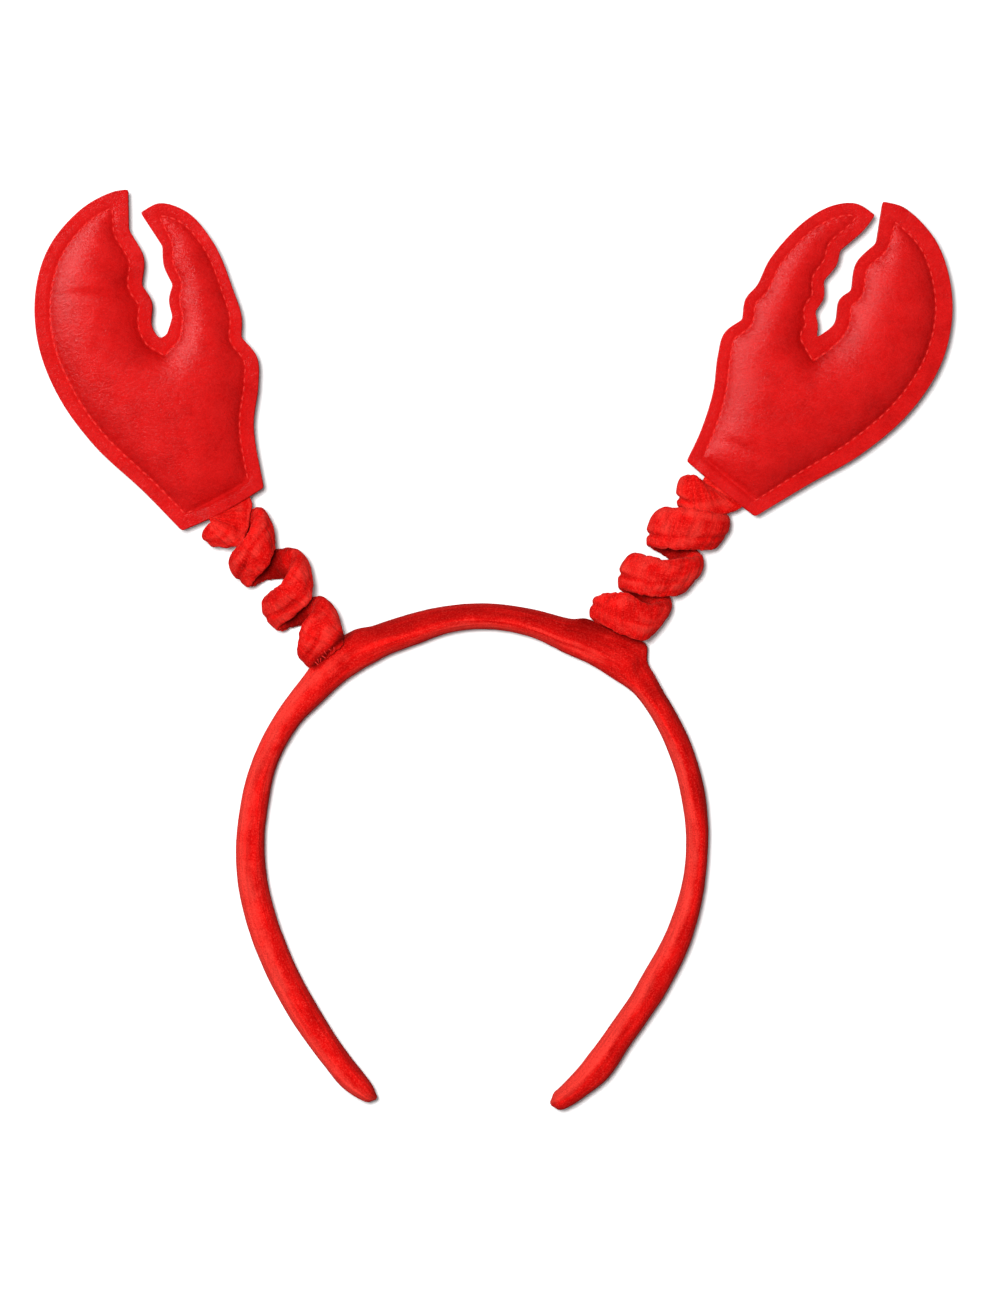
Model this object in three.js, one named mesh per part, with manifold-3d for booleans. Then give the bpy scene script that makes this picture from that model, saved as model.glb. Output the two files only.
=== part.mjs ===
// A crab claw headband lying flat: a C-shaped band wound in velour, two coil springs in gathered velour sleeves sewn on
// its outer edge, and a stuffed cloth claw on each spring. Millimetres, +Z up. The band's plane is horizontal, +Y points
// from the open ends of the band to the claws, and everything rests on z = 0.
import * as THREE from "three";
import { mergeVertices } from "three/addons/utils/BufferGeometryUtils.js";
import Module from "manifold-3d";

const wasm = await Module();
wasm.setup();

// ---------------------------------------------------------------- driving sizes

const PIECE_GAP = 0.3; // between pieces that touch on the real object

const BAND_CENTRE_X = -5.7; // centre that the band's radii are measured from
const BAND_CENTRE_Y = -60.15;
const BAND_MIDDLE_Z = 5.9;
const BAND_TOP_REACH = 5.5; // from the middle up to the crest
const BAND_BOTTOM_REACH = 6.7; // from the middle down, cut off flat where the band rests
const BAND_SQUARENESS = 2.6; // exponent of the rounded section
const BAND_SIDES = 12;
const BAND_STEP_DEG = 4.6;

const SLEEVE_SIDES = 10;
const SLEEVE_SQUARENESS = 2.1;
const SLEEVE_STEP = 3.3; // along the coil
const TONGUE_WIDTH = 11; // flat end of the sleeve sewn into the claw's mouth
const TONGUE_THICKNESS = 2;
const TONGUE_IN = 5.0; // how far it reaches into the claw
const TONGUE_OUT = 6.0; // how far it reaches back into the round sleeve

const CLOTH = 1.2; // claw cloth
const SEAM_PLANE_Z = 8.4; // height of the seam between a claw's two faces
const SEAM_HALF_GAP = 0.15;
const MOUTH_LIFT = 1.15; // how much each face lifts off the seam plane over the tongue
const MOUTH_FADE = 4.5;
const PUFF_FRONT = 7.4; // highest rise of the front face over its border
const PUFF_BACK = 9.6;
const PUFF_RISE = 8.5; // half-width over which a face reaches about two thirds of its puff
const FILLING_INSET = 2.0; // from the stitch line to the edge of the stuffing
const FILLING_GAP = 0.35;
const EDGE_STEP = 3.3; // point spacing along a claw's outline
const INNER_STEP = 6.2; // point spacing inside it

const CORNER = true;
const SMOOTH = false;

// ---------------------------------------------------------------- tables

// The band, from its right open end over the crown to its left open end. Angles run anticlockwise from +X.
const BAND = [
  { angle: -73.2, inner: 78.6, outer: 80.6, height: 0.45 },
  { angle: -72.4, inner: 77.2, outer: 82.0, height: 0.75 },
  { angle: -70.5, inner: 76.1, outer: 82.4, height: 0.95 },
  { angle: -66.0, inner: 73.5, outer: 81.3, height: 1 },
  { angle: -60.0, inner: 70.1, outer: 79.7, height: 1 },
  { angle: -52.0, inner: 66.7, outer: 75.4, height: 1 },
  { angle: -45.0, inner: 64.8, outer: 73.2, height: 1 },
  { angle: -35.0, inner: 62.9, outer: 71.7, height: 1 },
  { angle: -20.0, inner: 62.8, outer: 70.5, height: 1 },
  { angle: -5.0, inner: 63.5, outer: 70.1, height: 1 },
  { angle: 10.0, inner: 64.0, outer: 71.1, height: 1 },
  { angle: 25.0, inner: 65.1, outer: 72.5, height: 1 },
  { angle: 38.0, inner: 66.6, outer: 73.8, height: 1 },
  { angle: 44.0, inner: 67.2, outer: 75.4, height: 1 },
  { angle: 47.5, inner: 66.8, outer: 76.8, height: 1 }, // gusset under the right spring
  { angle: 50.0, inner: 66.3, outer: 80.3, height: 1 },
  { angle: 57.0, inner: 65.7, outer: 78.3, height: 1 },
  { angle: 64.0, inner: 65.0, outer: 77.2, height: 1 },
  { angle: 67.5, inner: 65.2, outer: 75.2, height: 1 }, // end of the gusset
  { angle: 76.0, inner: 66.2, outer: 74.4, height: 1 },
  { angle: 88.0, inner: 66.3, outer: 74.1, height: 1 },
  { angle: 97.0, inner: 65.5, outer: 73.7, height: 1 },
  { angle: 105.0, inner: 64.1, outer: 73.4, height: 1 },
  { angle: 114.0, inner: 63.9, outer: 73.8, height: 1 },
  { angle: 119.0, inner: 63.7, outer: 75.3, height: 1 }, // under the left spring
  { angle: 128.0, inner: 63.7, outer: 74.6, height: 1 },
  { angle: 136.0, inner: 63.7, outer: 72.9, height: 1 },
  { angle: 145.0, inner: 64.6, outer: 72.2, height: 1 },
  { angle: 157.0, inner: 64.4, outer: 71.9, height: 1 },
  { angle: 170.0, inner: 63.2, outer: 71.3, height: 1 },
  { angle: 185.0, inner: 62.9, outer: 71.6, height: 1 },
  { angle: 200.0, inner: 62.8, outer: 71.8, height: 1 },
  { angle: 212.0, inner: 63.8, outer: 72.8, height: 1 },
  { angle: 225.0, inner: 66.5, outer: 75.5, height: 1 },
  { angle: 235.0, inner: 70.4, outer: 78.9, height: 1 },
  { angle: 241.0, inner: 73.4, outer: 81.6, height: 1 },
  { angle: 245.5, inner: 76.1, outer: 82.4, height: 0.95 },
  { angle: 247.6, inner: 77.9, outer: 82.2, height: 0.75 },
  { angle: 248.6, inner: 79.0, outer: 81.2, height: 0.45 },
];

// The left sleeve's middle line, from the claw's mouth down to the band: each turn of the coil is a front strand high
// up and a back strand low down, which meet at its left and right ends.
const SLEEVE_LEFT = [
  { at: "mouth", x: -74.4, y: 45.0, z: 8.4, width: 9.0, thick: 4.6 },
  { at: "front_1", x: -79.3, y: 38.6, z: 11.0, width: 9.0, thick: 5.0 },
  { at: "left_1", x: -84.3, y: 34.0, z: 8.4, width: 8.0, thick: 5.2 },
  { at: "back_1", x: -75.9, y: 33.6, z: 2.6, width: 9.0, thick: 5.2 },
  { at: "right_1", x: -69.3, y: 38.2, z: 8.4, width: 10.0, thick: 5.4 },
  { at: "front_2", x: -72.3, y: 30.9, z: 14.0, width: 13.0, thick: 5.4 },
  { at: "left_2", x: -76.8, y: 24.6, z: 8.4, width: 13.0, thick: 5.4 },
  { at: "back_2", x: -66.3, y: 24.2, z: 2.6, width: 10.5, thick: 5.2 },
  { at: "right_2", x: -58.2, y: 26.4, z: 8.4, width: 9.0, thick: 5.2 },
  { at: "front_3", x: -59.6, y: 19.2, z: 14.0, width: 11.5, thick: 5.4 },
  { at: "left_3", x: -65.2, y: 10.9, z: 8.4, width: 12.0, thick: 5.4 },
  { at: "back_3", x: -58.2, y: 10.1, z: 2.6, width: 11.0, thick: 5.2 },
  { at: "right_3", x: -50.2, y: 12.4, z: 8.4, width: 10.0, thick: 5.2 },
  { at: "front_4", x: -51.6, y: 4.6, z: 12.6, width: 14.0, thick: 5.4 },
  { at: "left_4", x: -55.0, y: -1.6, z: 8.4, width: 12.5, thick: 5.2 },
  { at: "band", x: -48.8, y: -3.4, z: 4.0, width: 11.0, thick: 5.0 },
];

const SLEEVE_RIGHT = [
  { at: "mouth", x: 70.8, y: 47.4, z: 8.4, width: 9.0, thick: 4.6 },
  { at: "front_1", x: 64.8, y: 46.6, z: 11.2, width: 9.5, thick: 5.0 },
  { at: "left_1", x: 58.2, y: 47.9, z: 8.4, width: 9.5, thick: 5.2 },
  { at: "back_1", x: 62.4, y: 41.0, z: 2.6, width: 10.0, thick: 5.2 },
  { at: "right_1", x: 68.0, y: 36.0, z: 8.4, width: 11.0, thick: 5.4 },
  { at: "front_2", x: 58.5, y: 34.9, z: 14.0, width: 12.5, thick: 5.4 },
  { at: "left_2", x: 48.6, y: 36.3, z: 8.4, width: 12.5, thick: 5.4 },
  { at: "back_2", x: 54.9, y: 29.6, z: 2.6, width: 12.0, thick: 5.2 },
  { at: "right_2", x: 60.2, y: 24.6, z: 8.4, width: 12.0, thick: 5.4 },
  { at: "front_3", x: 50.1, y: 21.8, z: 14.0, width: 13.0, thick: 5.4 },
  { at: "left_3", x: 40.4, y: 23.5, z: 8.4, width: 12.5, thick: 5.4 },
  { at: "back_3", x: 46.5, y: 17.2, z: 2.6, width: 12.0, thick: 5.2 },
  { at: "right_3", x: 51.0, y: 12.2, z: 8.4, width: 11.5, thick: 5.2 },
  { at: "front_4", x: 41.7, y: 9.8, z: 13.6, width: 11.5, thick: 5.2 },
  { at: "left_4", x: 31.6, y: 11.6, z: 8.4, width: 9.0, thick: 4.8 },
  { at: "band", x: 37.5, y: 5.6, z: 4.0, width: 9.0, thick: 4.6 },
];

// Claw outlines in the claw's own frame: origin at the middle of the base, +Y to the tips. seam is the width of the
// flat border outside the stitch line.
const LEFT_CLAW = {
  x: -80.7,
  y: 41.85,
  tilt: 15.87,
  mouth: { x: 5.0, halfWidth: TONGUE_WIDTH / 2 },
  rows: [
    { at: "base_outer", x: -13.8, y: -2.6, turn: CORNER, seam: 4.2 },
    { at: "outer_edge_1", x: -21.6, y: 11.8, turn: SMOOTH, seam: 4.2 },
    { at: "outer_edge_2", x: -32.2, y: 29.4, turn: SMOOTH, seam: 4.4 },
    { at: "outer_edge_3", x: -38.5, y: 46.8, turn: SMOOTH, seam: 4.8 },
    { at: "outer_edge_4", x: -39.9, y: 63.7, turn: SMOOTH, seam: 4.7 },
    { at: "outer_edge_5", x: -36.2, y: 78.9, turn: SMOOTH, seam: 4.7 },
    { at: "outer_edge_6", x: -28.5, y: 90.5, turn: SMOOTH, seam: 4.6 },
    { at: "outer_edge_7", x: -16.3, y: 98.5, turn: SMOOTH, seam: 4.4 },
    { at: "outer_edge_8", x: -6.3, y: 100.8, turn: SMOOTH, seam: 4.6 },
    { at: "big_tip", x: -1.3, y: 100.3, turn: CORNER, seam: 5.0 },
    { at: "tooth_1_start", x: -4.4, y: 88.7, turn: CORNER, seam: 4.6 },
    { at: "tooth_1", x: -2.4, y: 79.3, turn: SMOOTH, seam: 4.4 },
    { at: "tooth_1_end", x: -5.2, y: 71.7, turn: CORNER, seam: 4.2 },
    { at: "tooth_2", x: -3.7, y: 65.9, turn: SMOOTH, seam: 4.0 },
    { at: "gap_side", x: -5.7, y: 59.0, turn: SMOOTH, seam: 3.9 },
    { at: "gap_floor", x: -4.2, y: 54.8, turn: SMOOTH, seam: 4.2 },
    { at: "gap_corner", x: -1.9, y: 55.4, turn: CORNER, seam: 4.2 },
    { at: "tooth_3_start", x: 1.0, y: 59.9, turn: CORNER, seam: 3.2 },
    { at: "tooth_3", x: 1.4, y: 65.1, turn: SMOOTH, seam: 3.2 },
    { at: "tooth_3_end", x: 3.7, y: 69.1, turn: CORNER, seam: 2.9 },
    { at: "tooth_4", x: 2.7, y: 75.3, turn: SMOOTH, seam: 3.0 },
    { at: "tooth_4_end", x: 3.9, y: 81.1, turn: CORNER, seam: 3.2 },
    { at: "small_tip", x: 0.3, y: 92.6, turn: CORNER, seam: 4.6 },
    { at: "small_edge_1", x: 6.7, y: 93.7, turn: SMOOTH, seam: 4.0 },
    { at: "small_edge_2", x: 14.0, y: 88.7, turn: SMOOTH, seam: 3.6 },
    { at: "small_edge_3", x: 19.1, y: 77.2, turn: SMOOTH, seam: 3.2 },
    { at: "small_edge_4", x: 20.7, y: 63.0, turn: SMOOTH, seam: 3.2 },
    { at: "small_edge_5", x: 21.0, y: 54.5, turn: SMOOTH, seam: 3.4 },
    { at: "waist", x: 19.2, y: 48.5, turn: CORNER, seam: 3.6 },
    { at: "knuckle_1", x: 22.1, y: 41.4, turn: SMOOTH, seam: 4.0 },
    { at: "knuckle_2", x: 20.2, y: 33.2, turn: SMOOTH, seam: 4.2 },
    { at: "inner_edge", x: 15.5, y: 21.8, turn: SMOOTH, seam: 4.2 },
    { at: "base_inner", x: 13.3, y: 3.1, turn: CORNER, seam: 4.2 },
    { at: "base_middle", x: -0.8, y: -0.7, turn: SMOOTH, seam: 4.4 },
  ],
};

const RIGHT_CLAW = {
  x: 67.8,
  y: 48.15,
  tilt: -29.5,
  mouth: { x: 1.5, halfWidth: TONGUE_WIDTH / 2 },
  rows: [
    { at: "base_inner", x: -12.6, y: 2.5, turn: CORNER, seam: 3.8 },
    { at: "inner_edge_1", x: -13.4, y: 12.7, turn: SMOOTH, seam: 3.8 },
    { at: "inner_edge_2", x: -16.0, y: 24.7, turn: SMOOTH, seam: 3.8 },
    { at: "inner_edge_3", x: -20.0, y: 34.5, turn: SMOOTH, seam: 3.8 },
    { at: "knuckle", x: -21.7, y: 41.5, turn: SMOOTH, seam: 3.6 },
    { at: "waist", x: -19.0, y: 47.7, turn: CORNER, seam: 3.4 },
    { at: "small_edge_1", x: -21.2, y: 53.5, turn: SMOOTH, seam: 3.4 },
    { at: "small_edge_2", x: -20.2, y: 58.9, turn: SMOOTH, seam: 3.6 },
    { at: "small_edge_3", x: -20.7, y: 67.6, turn: SMOOTH, seam: 3.6 },
    { at: "small_edge_4", x: -17.3, y: 82.3, turn: SMOOTH, seam: 3.6 },
    { at: "small_edge_5", x: -12.3, y: 90.6, turn: SMOOTH, seam: 3.8 },
    { at: "small_edge_6", x: -6.3, y: 94.7, turn: SMOOTH, seam: 3.8 },
    { at: "small_tip", x: 0.3, y: 94.5, turn: CORNER, seam: 4.6 },
    { at: "small_edge_7", x: -0.4, y: 89.0, turn: SMOOTH, seam: 4.2 },
    { at: "tooth_1_start", x: -3.6, y: 80.0, turn: CORNER, seam: 4.0 },
    { at: "tooth_1", x: -2.4, y: 75.8, turn: SMOOTH, seam: 4.0 },
    { at: "tooth_1_end", x: -3.4, y: 69.7, turn: CORNER, seam: 3.6 },
    { at: "tooth_2", x: -0.9, y: 65.3, turn: SMOOTH, seam: 3.6 },
    { at: "tooth_2_end", x: -1.1, y: 60.4, turn: CORNER, seam: 3.6 },
    { at: "tooth_3", x: 1.5, y: 57.4, turn: SMOOTH, seam: 3.6 },
    { at: "gap_corner", x: 3.1, y: 53.8, turn: CORNER, seam: 5.4 },
    { at: "gap_side", x: 5.6, y: 60.2, turn: SMOOTH, seam: 4.4 },
    { at: "tooth_4", x: 3.4, y: 67.1, turn: SMOOTH, seam: 4.0 },
    { at: "tooth_4_end", x: 5.1, y: 71.3, turn: CORNER, seam: 3.8 },
    { at: "tooth_5", x: 2.4, y: 79.2, turn: SMOOTH, seam: 3.8 },
    { at: "tooth_5_end", x: 4.6, y: 87.4, turn: CORNER, seam: 4.0 },
    { at: "big_tip", x: 0.2, y: 99.2, turn: CORNER, seam: 5.4 },
    { at: "outer_edge_1", x: 6.8, y: 100.7, turn: SMOOTH, seam: 5.2 },
    { at: "outer_edge_2", x: 19.6, y: 96.9, turn: SMOOTH, seam: 5.0 },
    { at: "outer_edge_3", x: 29.3, y: 88.6, turn: SMOOTH, seam: 5.0 },
    { at: "outer_edge_4", x: 36.0, y: 78.0, turn: SMOOTH, seam: 5.0 },
    { at: "outer_edge_5", x: 39.6, y: 64.1, turn: SMOOTH, seam: 5.2 },
    { at: "outer_edge_6", x: 38.3, y: 47.5, turn: SMOOTH, seam: 5.2 },
    { at: "outer_edge_7", x: 31.8, y: 29.7, turn: SMOOTH, seam: 5.0 },
    { at: "outer_edge_8", x: 22.6, y: 14.2, turn: SMOOTH, seam: 4.4 },
    { at: "base_outer", x: 13.5, y: -1.9, turn: CORNER, seam: 4.0 },
    { at: "base_middle", x: 0.7, y: 0.0, turn: SMOOTH, seam: 4.2 },
  ],
};

// ---------------------------------------------------------------- solids

function solidOf(geometry) {
  const bare = geometry.index ? geometry.toNonIndexed() : geometry.clone();
  bare.deleteAttribute("normal");
  bare.deleteAttribute("uv");
  const merged = mergeVertices(bare, 1e-4);
  return new wasm.Manifold(
    new wasm.Mesh({
      numProp: 3,
      vertProperties: merged.attributes.position.array,
      triVerts: new Uint32Array(merged.index.array),
    }),
  );
}

function largestBody(solid) {
  return solid
    .decompose()
    .sort((a, b) => b.volume() - a.volume())[0];
}

function geometryOf(solid) {
  const mesh = solid.getMesh();
  const geometry = new THREE.BufferGeometry();
  geometry.setAttribute(
    "position",
    new THREE.BufferAttribute(new Float32Array(mesh.vertProperties), 3),
  );
  geometry.setIndex(new THREE.BufferAttribute(new Uint32Array(mesh.triVerts), 1));
  geometry.computeVertexNormals();
  return geometry;
}

// Turns a list of points and faces into a geometry that faces out.
function closedGeometry(points, faces) {
  let volume = 0;
  for (const [a, b, c] of faces)
    volume += points[a].dot(new THREE.Vector3().crossVectors(points[b], points[c])) / 6;
  const geometry = new THREE.BufferGeometry().setFromPoints(points);
  geometry.setIndex(faces.flatMap(([a, b, c]) => (volume > 0 ? [a, b, c] : [a, c, b])));
  geometry.computeVertexNormals();
  return geometry;
}

// A closed body through rings of points that all have the same count, with a flat fan at each end.
function loft(rings) {
  const sides = rings[0].length;
  const points = rings.flat();
  const faces = [];
  for (let i = 0; i + 1 < rings.length; i++)
    for (let k = 0; k < sides; k++) {
      const a = i * sides + k;
      const b = i * sides + ((k + 1) % sides);
      faces.push([a, b, b + sides], [a, b + sides, a + sides]);
    }
  for (const [first, turn] of [[0, true], [(rings.length - 1) * sides, false]]) {
    const middle = new THREE.Vector3();
    for (let k = 0; k < sides; k++) middle.addScaledVector(points[first + k], 1 / sides);
    points.push(middle);
    for (let k = 0; k < sides; k++) {
      const pair = [first + k, first + ((k + 1) % sides)];
      faces.push([points.length - 1, ...(turn ? pair.reverse() : pair)]);
    }
  }
  return closedGeometry(points, faces);
}

// Point k of a rounded section: cosine and sine pushed out towards a rectangle.
function roundedSection(k, sides, squareness) {
  const angle = (2 * Math.PI * (k + 0.5 * ((sides / 2) % 2))) / sides;
  const push = (v) => Math.sign(v) * Math.abs(v) ** (2 / squareness);
  return { across: push(Math.cos(angle)), up: push(Math.sin(angle)) };
}

// Reads a table at any position along it, through smooth curves of its named columns.
function tableReader(rows, along, columns) {
  const slope = (i, c) => {
    const a = rows[Math.max(0, i - 1)];
    const b = rows[Math.min(rows.length - 1, i + 1)];
    return (b[c] - a[c]) / (b[along] - a[along]);
  };
  return (at) => {
    let i = 0;
    while (i < rows.length - 2 && at > rows[i + 1][along]) i++;
    const span = rows[i + 1][along] - rows[i][along];
    const t = Math.min(1, Math.max(0, (at - rows[i][along]) / span));
    const out = {};
    for (const c of columns)
      out[c] =
        rows[i][c] * (2 * t ** 3 - 3 * t ** 2 + 1) +
        rows[i + 1][c] * (3 * t ** 2 - 2 * t ** 3) +
        span * (slope(i, c) * (t ** 3 - 2 * t ** 2 + t) + slope(i + 1, c) * (t ** 3 - t ** 2));
    return out;
  };
}

// ---------------------------------------------------------------- band

function bandGeometry(grow = 0) {
  const read = tableReader(BAND, "angle", ["inner", "outer", "height"]);
  const first = BAND[0].angle;
  const last = BAND[BAND.length - 1].angle;
  const steps = Math.ceil((last - first) / BAND_STEP_DEG);
  const angles = new Set([BAND[1].angle, BAND[2].angle, BAND[BAND.length - 2].angle, BAND[BAND.length - 3].angle]);
  for (let i = 0; i <= steps; i++) {
    const angle = first + ((last - first) * i) / steps;
    if ([...angles].every((a) => Math.abs(a - angle) > 0.7)) angles.add(angle);
  }
  const rings = [...angles]
    .sort((a, b) => a - b)
    .map((angle) => {
      const { inner, outer, height } = read(angle);
      const turn = THREE.MathUtils.degToRad(angle);
      const ring = [];
      for (let k = 0; k < BAND_SIDES; k++) {
        const { across, up } = roundedSection(k, BAND_SIDES, BAND_SQUARENESS);
        const radius = (inner + outer) / 2 + across * ((outer - inner) / 2 + grow);
        const reach = up > 0 ? BAND_TOP_REACH : BAND_BOTTOM_REACH;
        ring.push(
          new THREE.Vector3(
            BAND_CENTRE_X + radius * Math.cos(turn),
            BAND_CENTRE_Y + radius * Math.sin(turn),
            Math.max(-grow, BAND_MIDDLE_Z + up * (reach * height + grow)),
          ),
        );
      }
      return ring;
    });
  return loft(rings);
}

// ---------------------------------------------------------------- claws

// The outline at even steps, anticlockwise, with the seam width carried in z.
function outlineOf(claw) {
  const start = claw.rows.findIndex((row) => row.turn === CORNER);
  const rows = [...claw.rows.slice(start), ...claw.rows.slice(0, start + 1)];
  const points = [];
  for (let i = 0; i < rows.length - 1; ) {
    let j = i + 1;
    while (rows[j].turn !== CORNER) j++;
    const run = rows.slice(i, j + 1).map((row) => new THREE.Vector3(row.x, row.y, row.seam));
    const curve = new THREE.CatmullRomCurve3(run, false, "centripetal");
    points.push(
      ...curve.getSpacedPoints(Math.max(1, Math.round(curve.getLength() / EDGE_STEP))).slice(0, -1),
    );
    i = j;
  }
  return points.reverse();
}

// Distance from a point to the outline, the seam width there, and which side it is on.
function measure(outline, x, y) {
  let best = Infinity;
  let seam = 0;
  let inside = false;
  for (let i = 0; i < outline.length; i++) {
    const a = outline[i];
    const b = outline[(i + 1) % outline.length];
    const along = { x: b.x - a.x, y: b.y - a.y };
    const t = Math.min(
      1,
      Math.max(0, ((x - a.x) * along.x + (y - a.y) * along.y) / (along.x ** 2 + along.y ** 2)),
    );
    const distance = Math.hypot(x - a.x - t * along.x, y - a.y - t * along.y);
    if (distance < best) {
      best = distance;
      seam = a.z + t * (b.z - a.z);
    }
    if (a.y > y !== b.y > y && x < a.x + ((y - a.y) / (b.y - a.y)) * along.x) inside = !inside;
  }
  return { distance: best, seam, inside };
}

// The outline moved inwards, or outwards where the distance is negative, square to its edges.
function moved(outline, distanceAt) {
  return outline.map((p, i) => {
    const before = outline[(i + outline.length - 1) % outline.length];
    const after = outline[(i + 1) % outline.length];
    const inA = new THREE.Vector2(before.y - p.y, p.x - before.x).normalize();
    const inB = new THREE.Vector2(p.y - after.y, after.x - p.x).normalize();
    const square = inA.clone().add(inB).normalize();
    const reach = distanceAt(p) / Math.max(0.4, square.dot(inA));
    return new THREE.Vector3(p.x + square.x * reach, p.y + square.y * reach, p.z);
  });
}

// Delaunay triangles of points in the plane.
function triangulate(points) {
  const far = 1e4;
  const all = [...points, { x: -far, y: -far }, { x: far, y: -far }, { x: 0, y: far }];
  const circle = (a, b, c) => {
    const [A, B, C] = [all[a], all[b], all[c]];
    const d = 2 * (A.x * (B.y - C.y) + B.x * (C.y - A.y) + C.x * (A.y - B.y));
    const [qa, qb, qc] = [A, B, C].map((q) => q.x ** 2 + q.y ** 2);
    const x = (qa * (B.y - C.y) + qb * (C.y - A.y) + qc * (A.y - B.y)) / d;
    const y = (qa * (C.x - B.x) + qb * (A.x - C.x) + qc * (B.x - A.x)) / d;
    return { corners: [a, b, c], x, y, r2: (A.x - x) ** 2 + (A.y - y) ** 2 };
  };
  let faces = [circle(points.length, points.length + 1, points.length + 2)];
  points.forEach((p, i) => {
    const hit = faces.filter((f) => (p.x - f.x) ** 2 + (p.y - f.y) ** 2 < f.r2);
    const rim = new Map();
    for (const f of hit)
      for (let k = 0; k < 3; k++) {
        const a = f.corners[k];
        const b = f.corners[(k + 1) % 3];
        if (rim.has(b + "," + a)) rim.delete(b + "," + a);
        else rim.set(a + "," + b, [a, b]);
      }
    faces = faces.filter((f) => !hit.includes(f));
    for (const [a, b] of rim.values()) faces.push(circle(a, b, i));
  });
  return faces.map((f) => f.corners).filter((c) => c.every((v) => v < points.length));
}

// The flat mesh of a claw: its outline, its stitch line, a row just inside that, and an even spread within.
function clawMesh(claw) {
  const outline = outlineOf(claw);
  const points = outline.map((p) => ({ x: p.x, y: p.y, depth: -p.z }));
  const clear = (q, apart) => points.every((p) => Math.hypot(p.x - q.x, p.y - q.y) > apart);
  for (const inset of [0, FILLING_INSET])
    for (const q of moved(outline, (p) => p.z + inset)) {
      const at = measure(outline, q.x, q.y);
      if (at.inside && at.distance > at.seam + inset - 0.35 && clear(q, inset ? 1.6 : 1.9))
        points.push({ x: q.x, y: q.y, depth: inset ? at.distance - at.seam : 0 });
    }
  const rowStep = (INNER_STEP * Math.sqrt(3)) / 2;
  for (let row = 0; row < 140 / rowStep; row++)
    for (let column = -10; column < 10; column++) {
      const q = {
        x: (column + (row % 2) / 2) * INNER_STEP + 0.02 * Math.sin(row * 7 + column),
        y: row * rowStep - 6 + 0.02 * Math.sin(row + column * 5),
      };
      const at = measure(outline, q.x, q.y);
      if (at.inside && at.distance > at.seam + FILLING_INSET + 1 && clear(q, 0.62 * INNER_STEP))
        points.push({ ...q, depth: at.distance - at.seam });
    }
  const faces = triangulate(points).filter((corners) => {
    const x = corners.reduce((sum, v) => sum + points[v].x, 0) / 3;
    const y = corners.reduce((sum, v) => sum + points[v].y, 0) / 3;
    return measure(outline, x, y).inside;
  });
  const edges = new Set(faces.flatMap(([a, b, c]) => [a + "," + b, b + "," + c, c + "," + a]));
  outline.forEach((_, i) => {
    if (!edges.has(i + "," + ((i + 1) % outline.length)))
      throw new Error("the outline has an edge that the mesh misses, at point " + i);
  });
  return { outline, points, faces };
}

// How far the cloth stands off the seam plane when it is sewn along the stitch line and stuffed: a soap film under
// pressure gives the shape, and a falling curve stops the wide palm from rising too far over the fingers.
function puff({ points, faces }, height) {
  const links = points.map(() => new Map());
  const area = points.map(() => 0);
  for (const corners of faces)
    for (let k = 0; k < 3; k++) {
      const [a, b, c] = [0, 1, 2].map((n) => corners[(k + n) % 3]);
      const ab = { x: points[a].x - points[c].x, y: points[a].y - points[c].y };
      const bc = { x: points[b].x - points[c].x, y: points[b].y - points[c].y };
      const cross = Math.abs(ab.x * bc.y - ab.y * bc.x);
      const weight = Math.max(0.02, (ab.x * bc.x + ab.y * bc.y) / cross / 2);
      links[a].set(b, (links[a].get(b) || 0) + weight);
      links[b].set(a, (links[b].get(a) || 0) + weight);
      area[c] += cross / 6;
    }
  const film = points.map(() => 0);
  for (let round = 0; round < 900; round++)
    points.forEach((p, i) => {
      if (p.depth <= 0) return;
      let sum = area[i];
      let total = 0;
      for (const [j, weight] of links[i]) {
        sum += weight * film[j];
        total += weight;
      }
      film[i] = sum / total;
    });
  return film.map((u) => height * (1 - Math.exp(-Math.sqrt(2 * u) / PUFF_RISE)));
}

// Upward part of the normal at each point of a height field.
function steepness({ points, faces }, heights) {
  const normals = points.map(() => new THREE.Vector3());
  for (const corners of faces) {
    const [a, b, c] = corners.map((v) => new THREE.Vector3(points[v].x, points[v].y, heights[v]));
    const normal = new THREE.Vector3().crossVectors(b.sub(a), c.sub(a));
    for (const v of corners) normals[v].add(normal);
  }
  return normals.map((n) => Math.max(0.62, n.normalize().z));
}

// A closed body between two height fields over a flat mesh.
function slab({ points, faces }, low, high) {
  const used = [...new Set(faces.flat())];
  const number = new Map(used.map((v, i) => [v, i]));
  const body = [
    ...used.map((v) => new THREE.Vector3(points[v].x, points[v].y, low[v])),
    ...used.map((v) => new THREE.Vector3(points[v].x, points[v].y, high[v])),
  ];
  const up = used.length;
  const edges = new Set(faces.flatMap(([a, b, c]) => [a + "," + b, b + "," + c, c + "," + a]));
  const sides = [];
  for (const [a, b, c] of faces.map((f) => f.map((v) => number.get(v)))) {
    sides.push([a + up, b + up, c + up], [a, c, b]);
  }
  for (const edge of edges) {
    const [a, b] = edge.split(",").map(Number);
    if (edges.has(b + "," + a)) continue;
    const [p, q] = [number.get(a), number.get(b)];
    sides.push([p, q, q + up], [p, q + up, p + up]);
  }
  return closedGeometry(body, sides);
}

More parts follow.
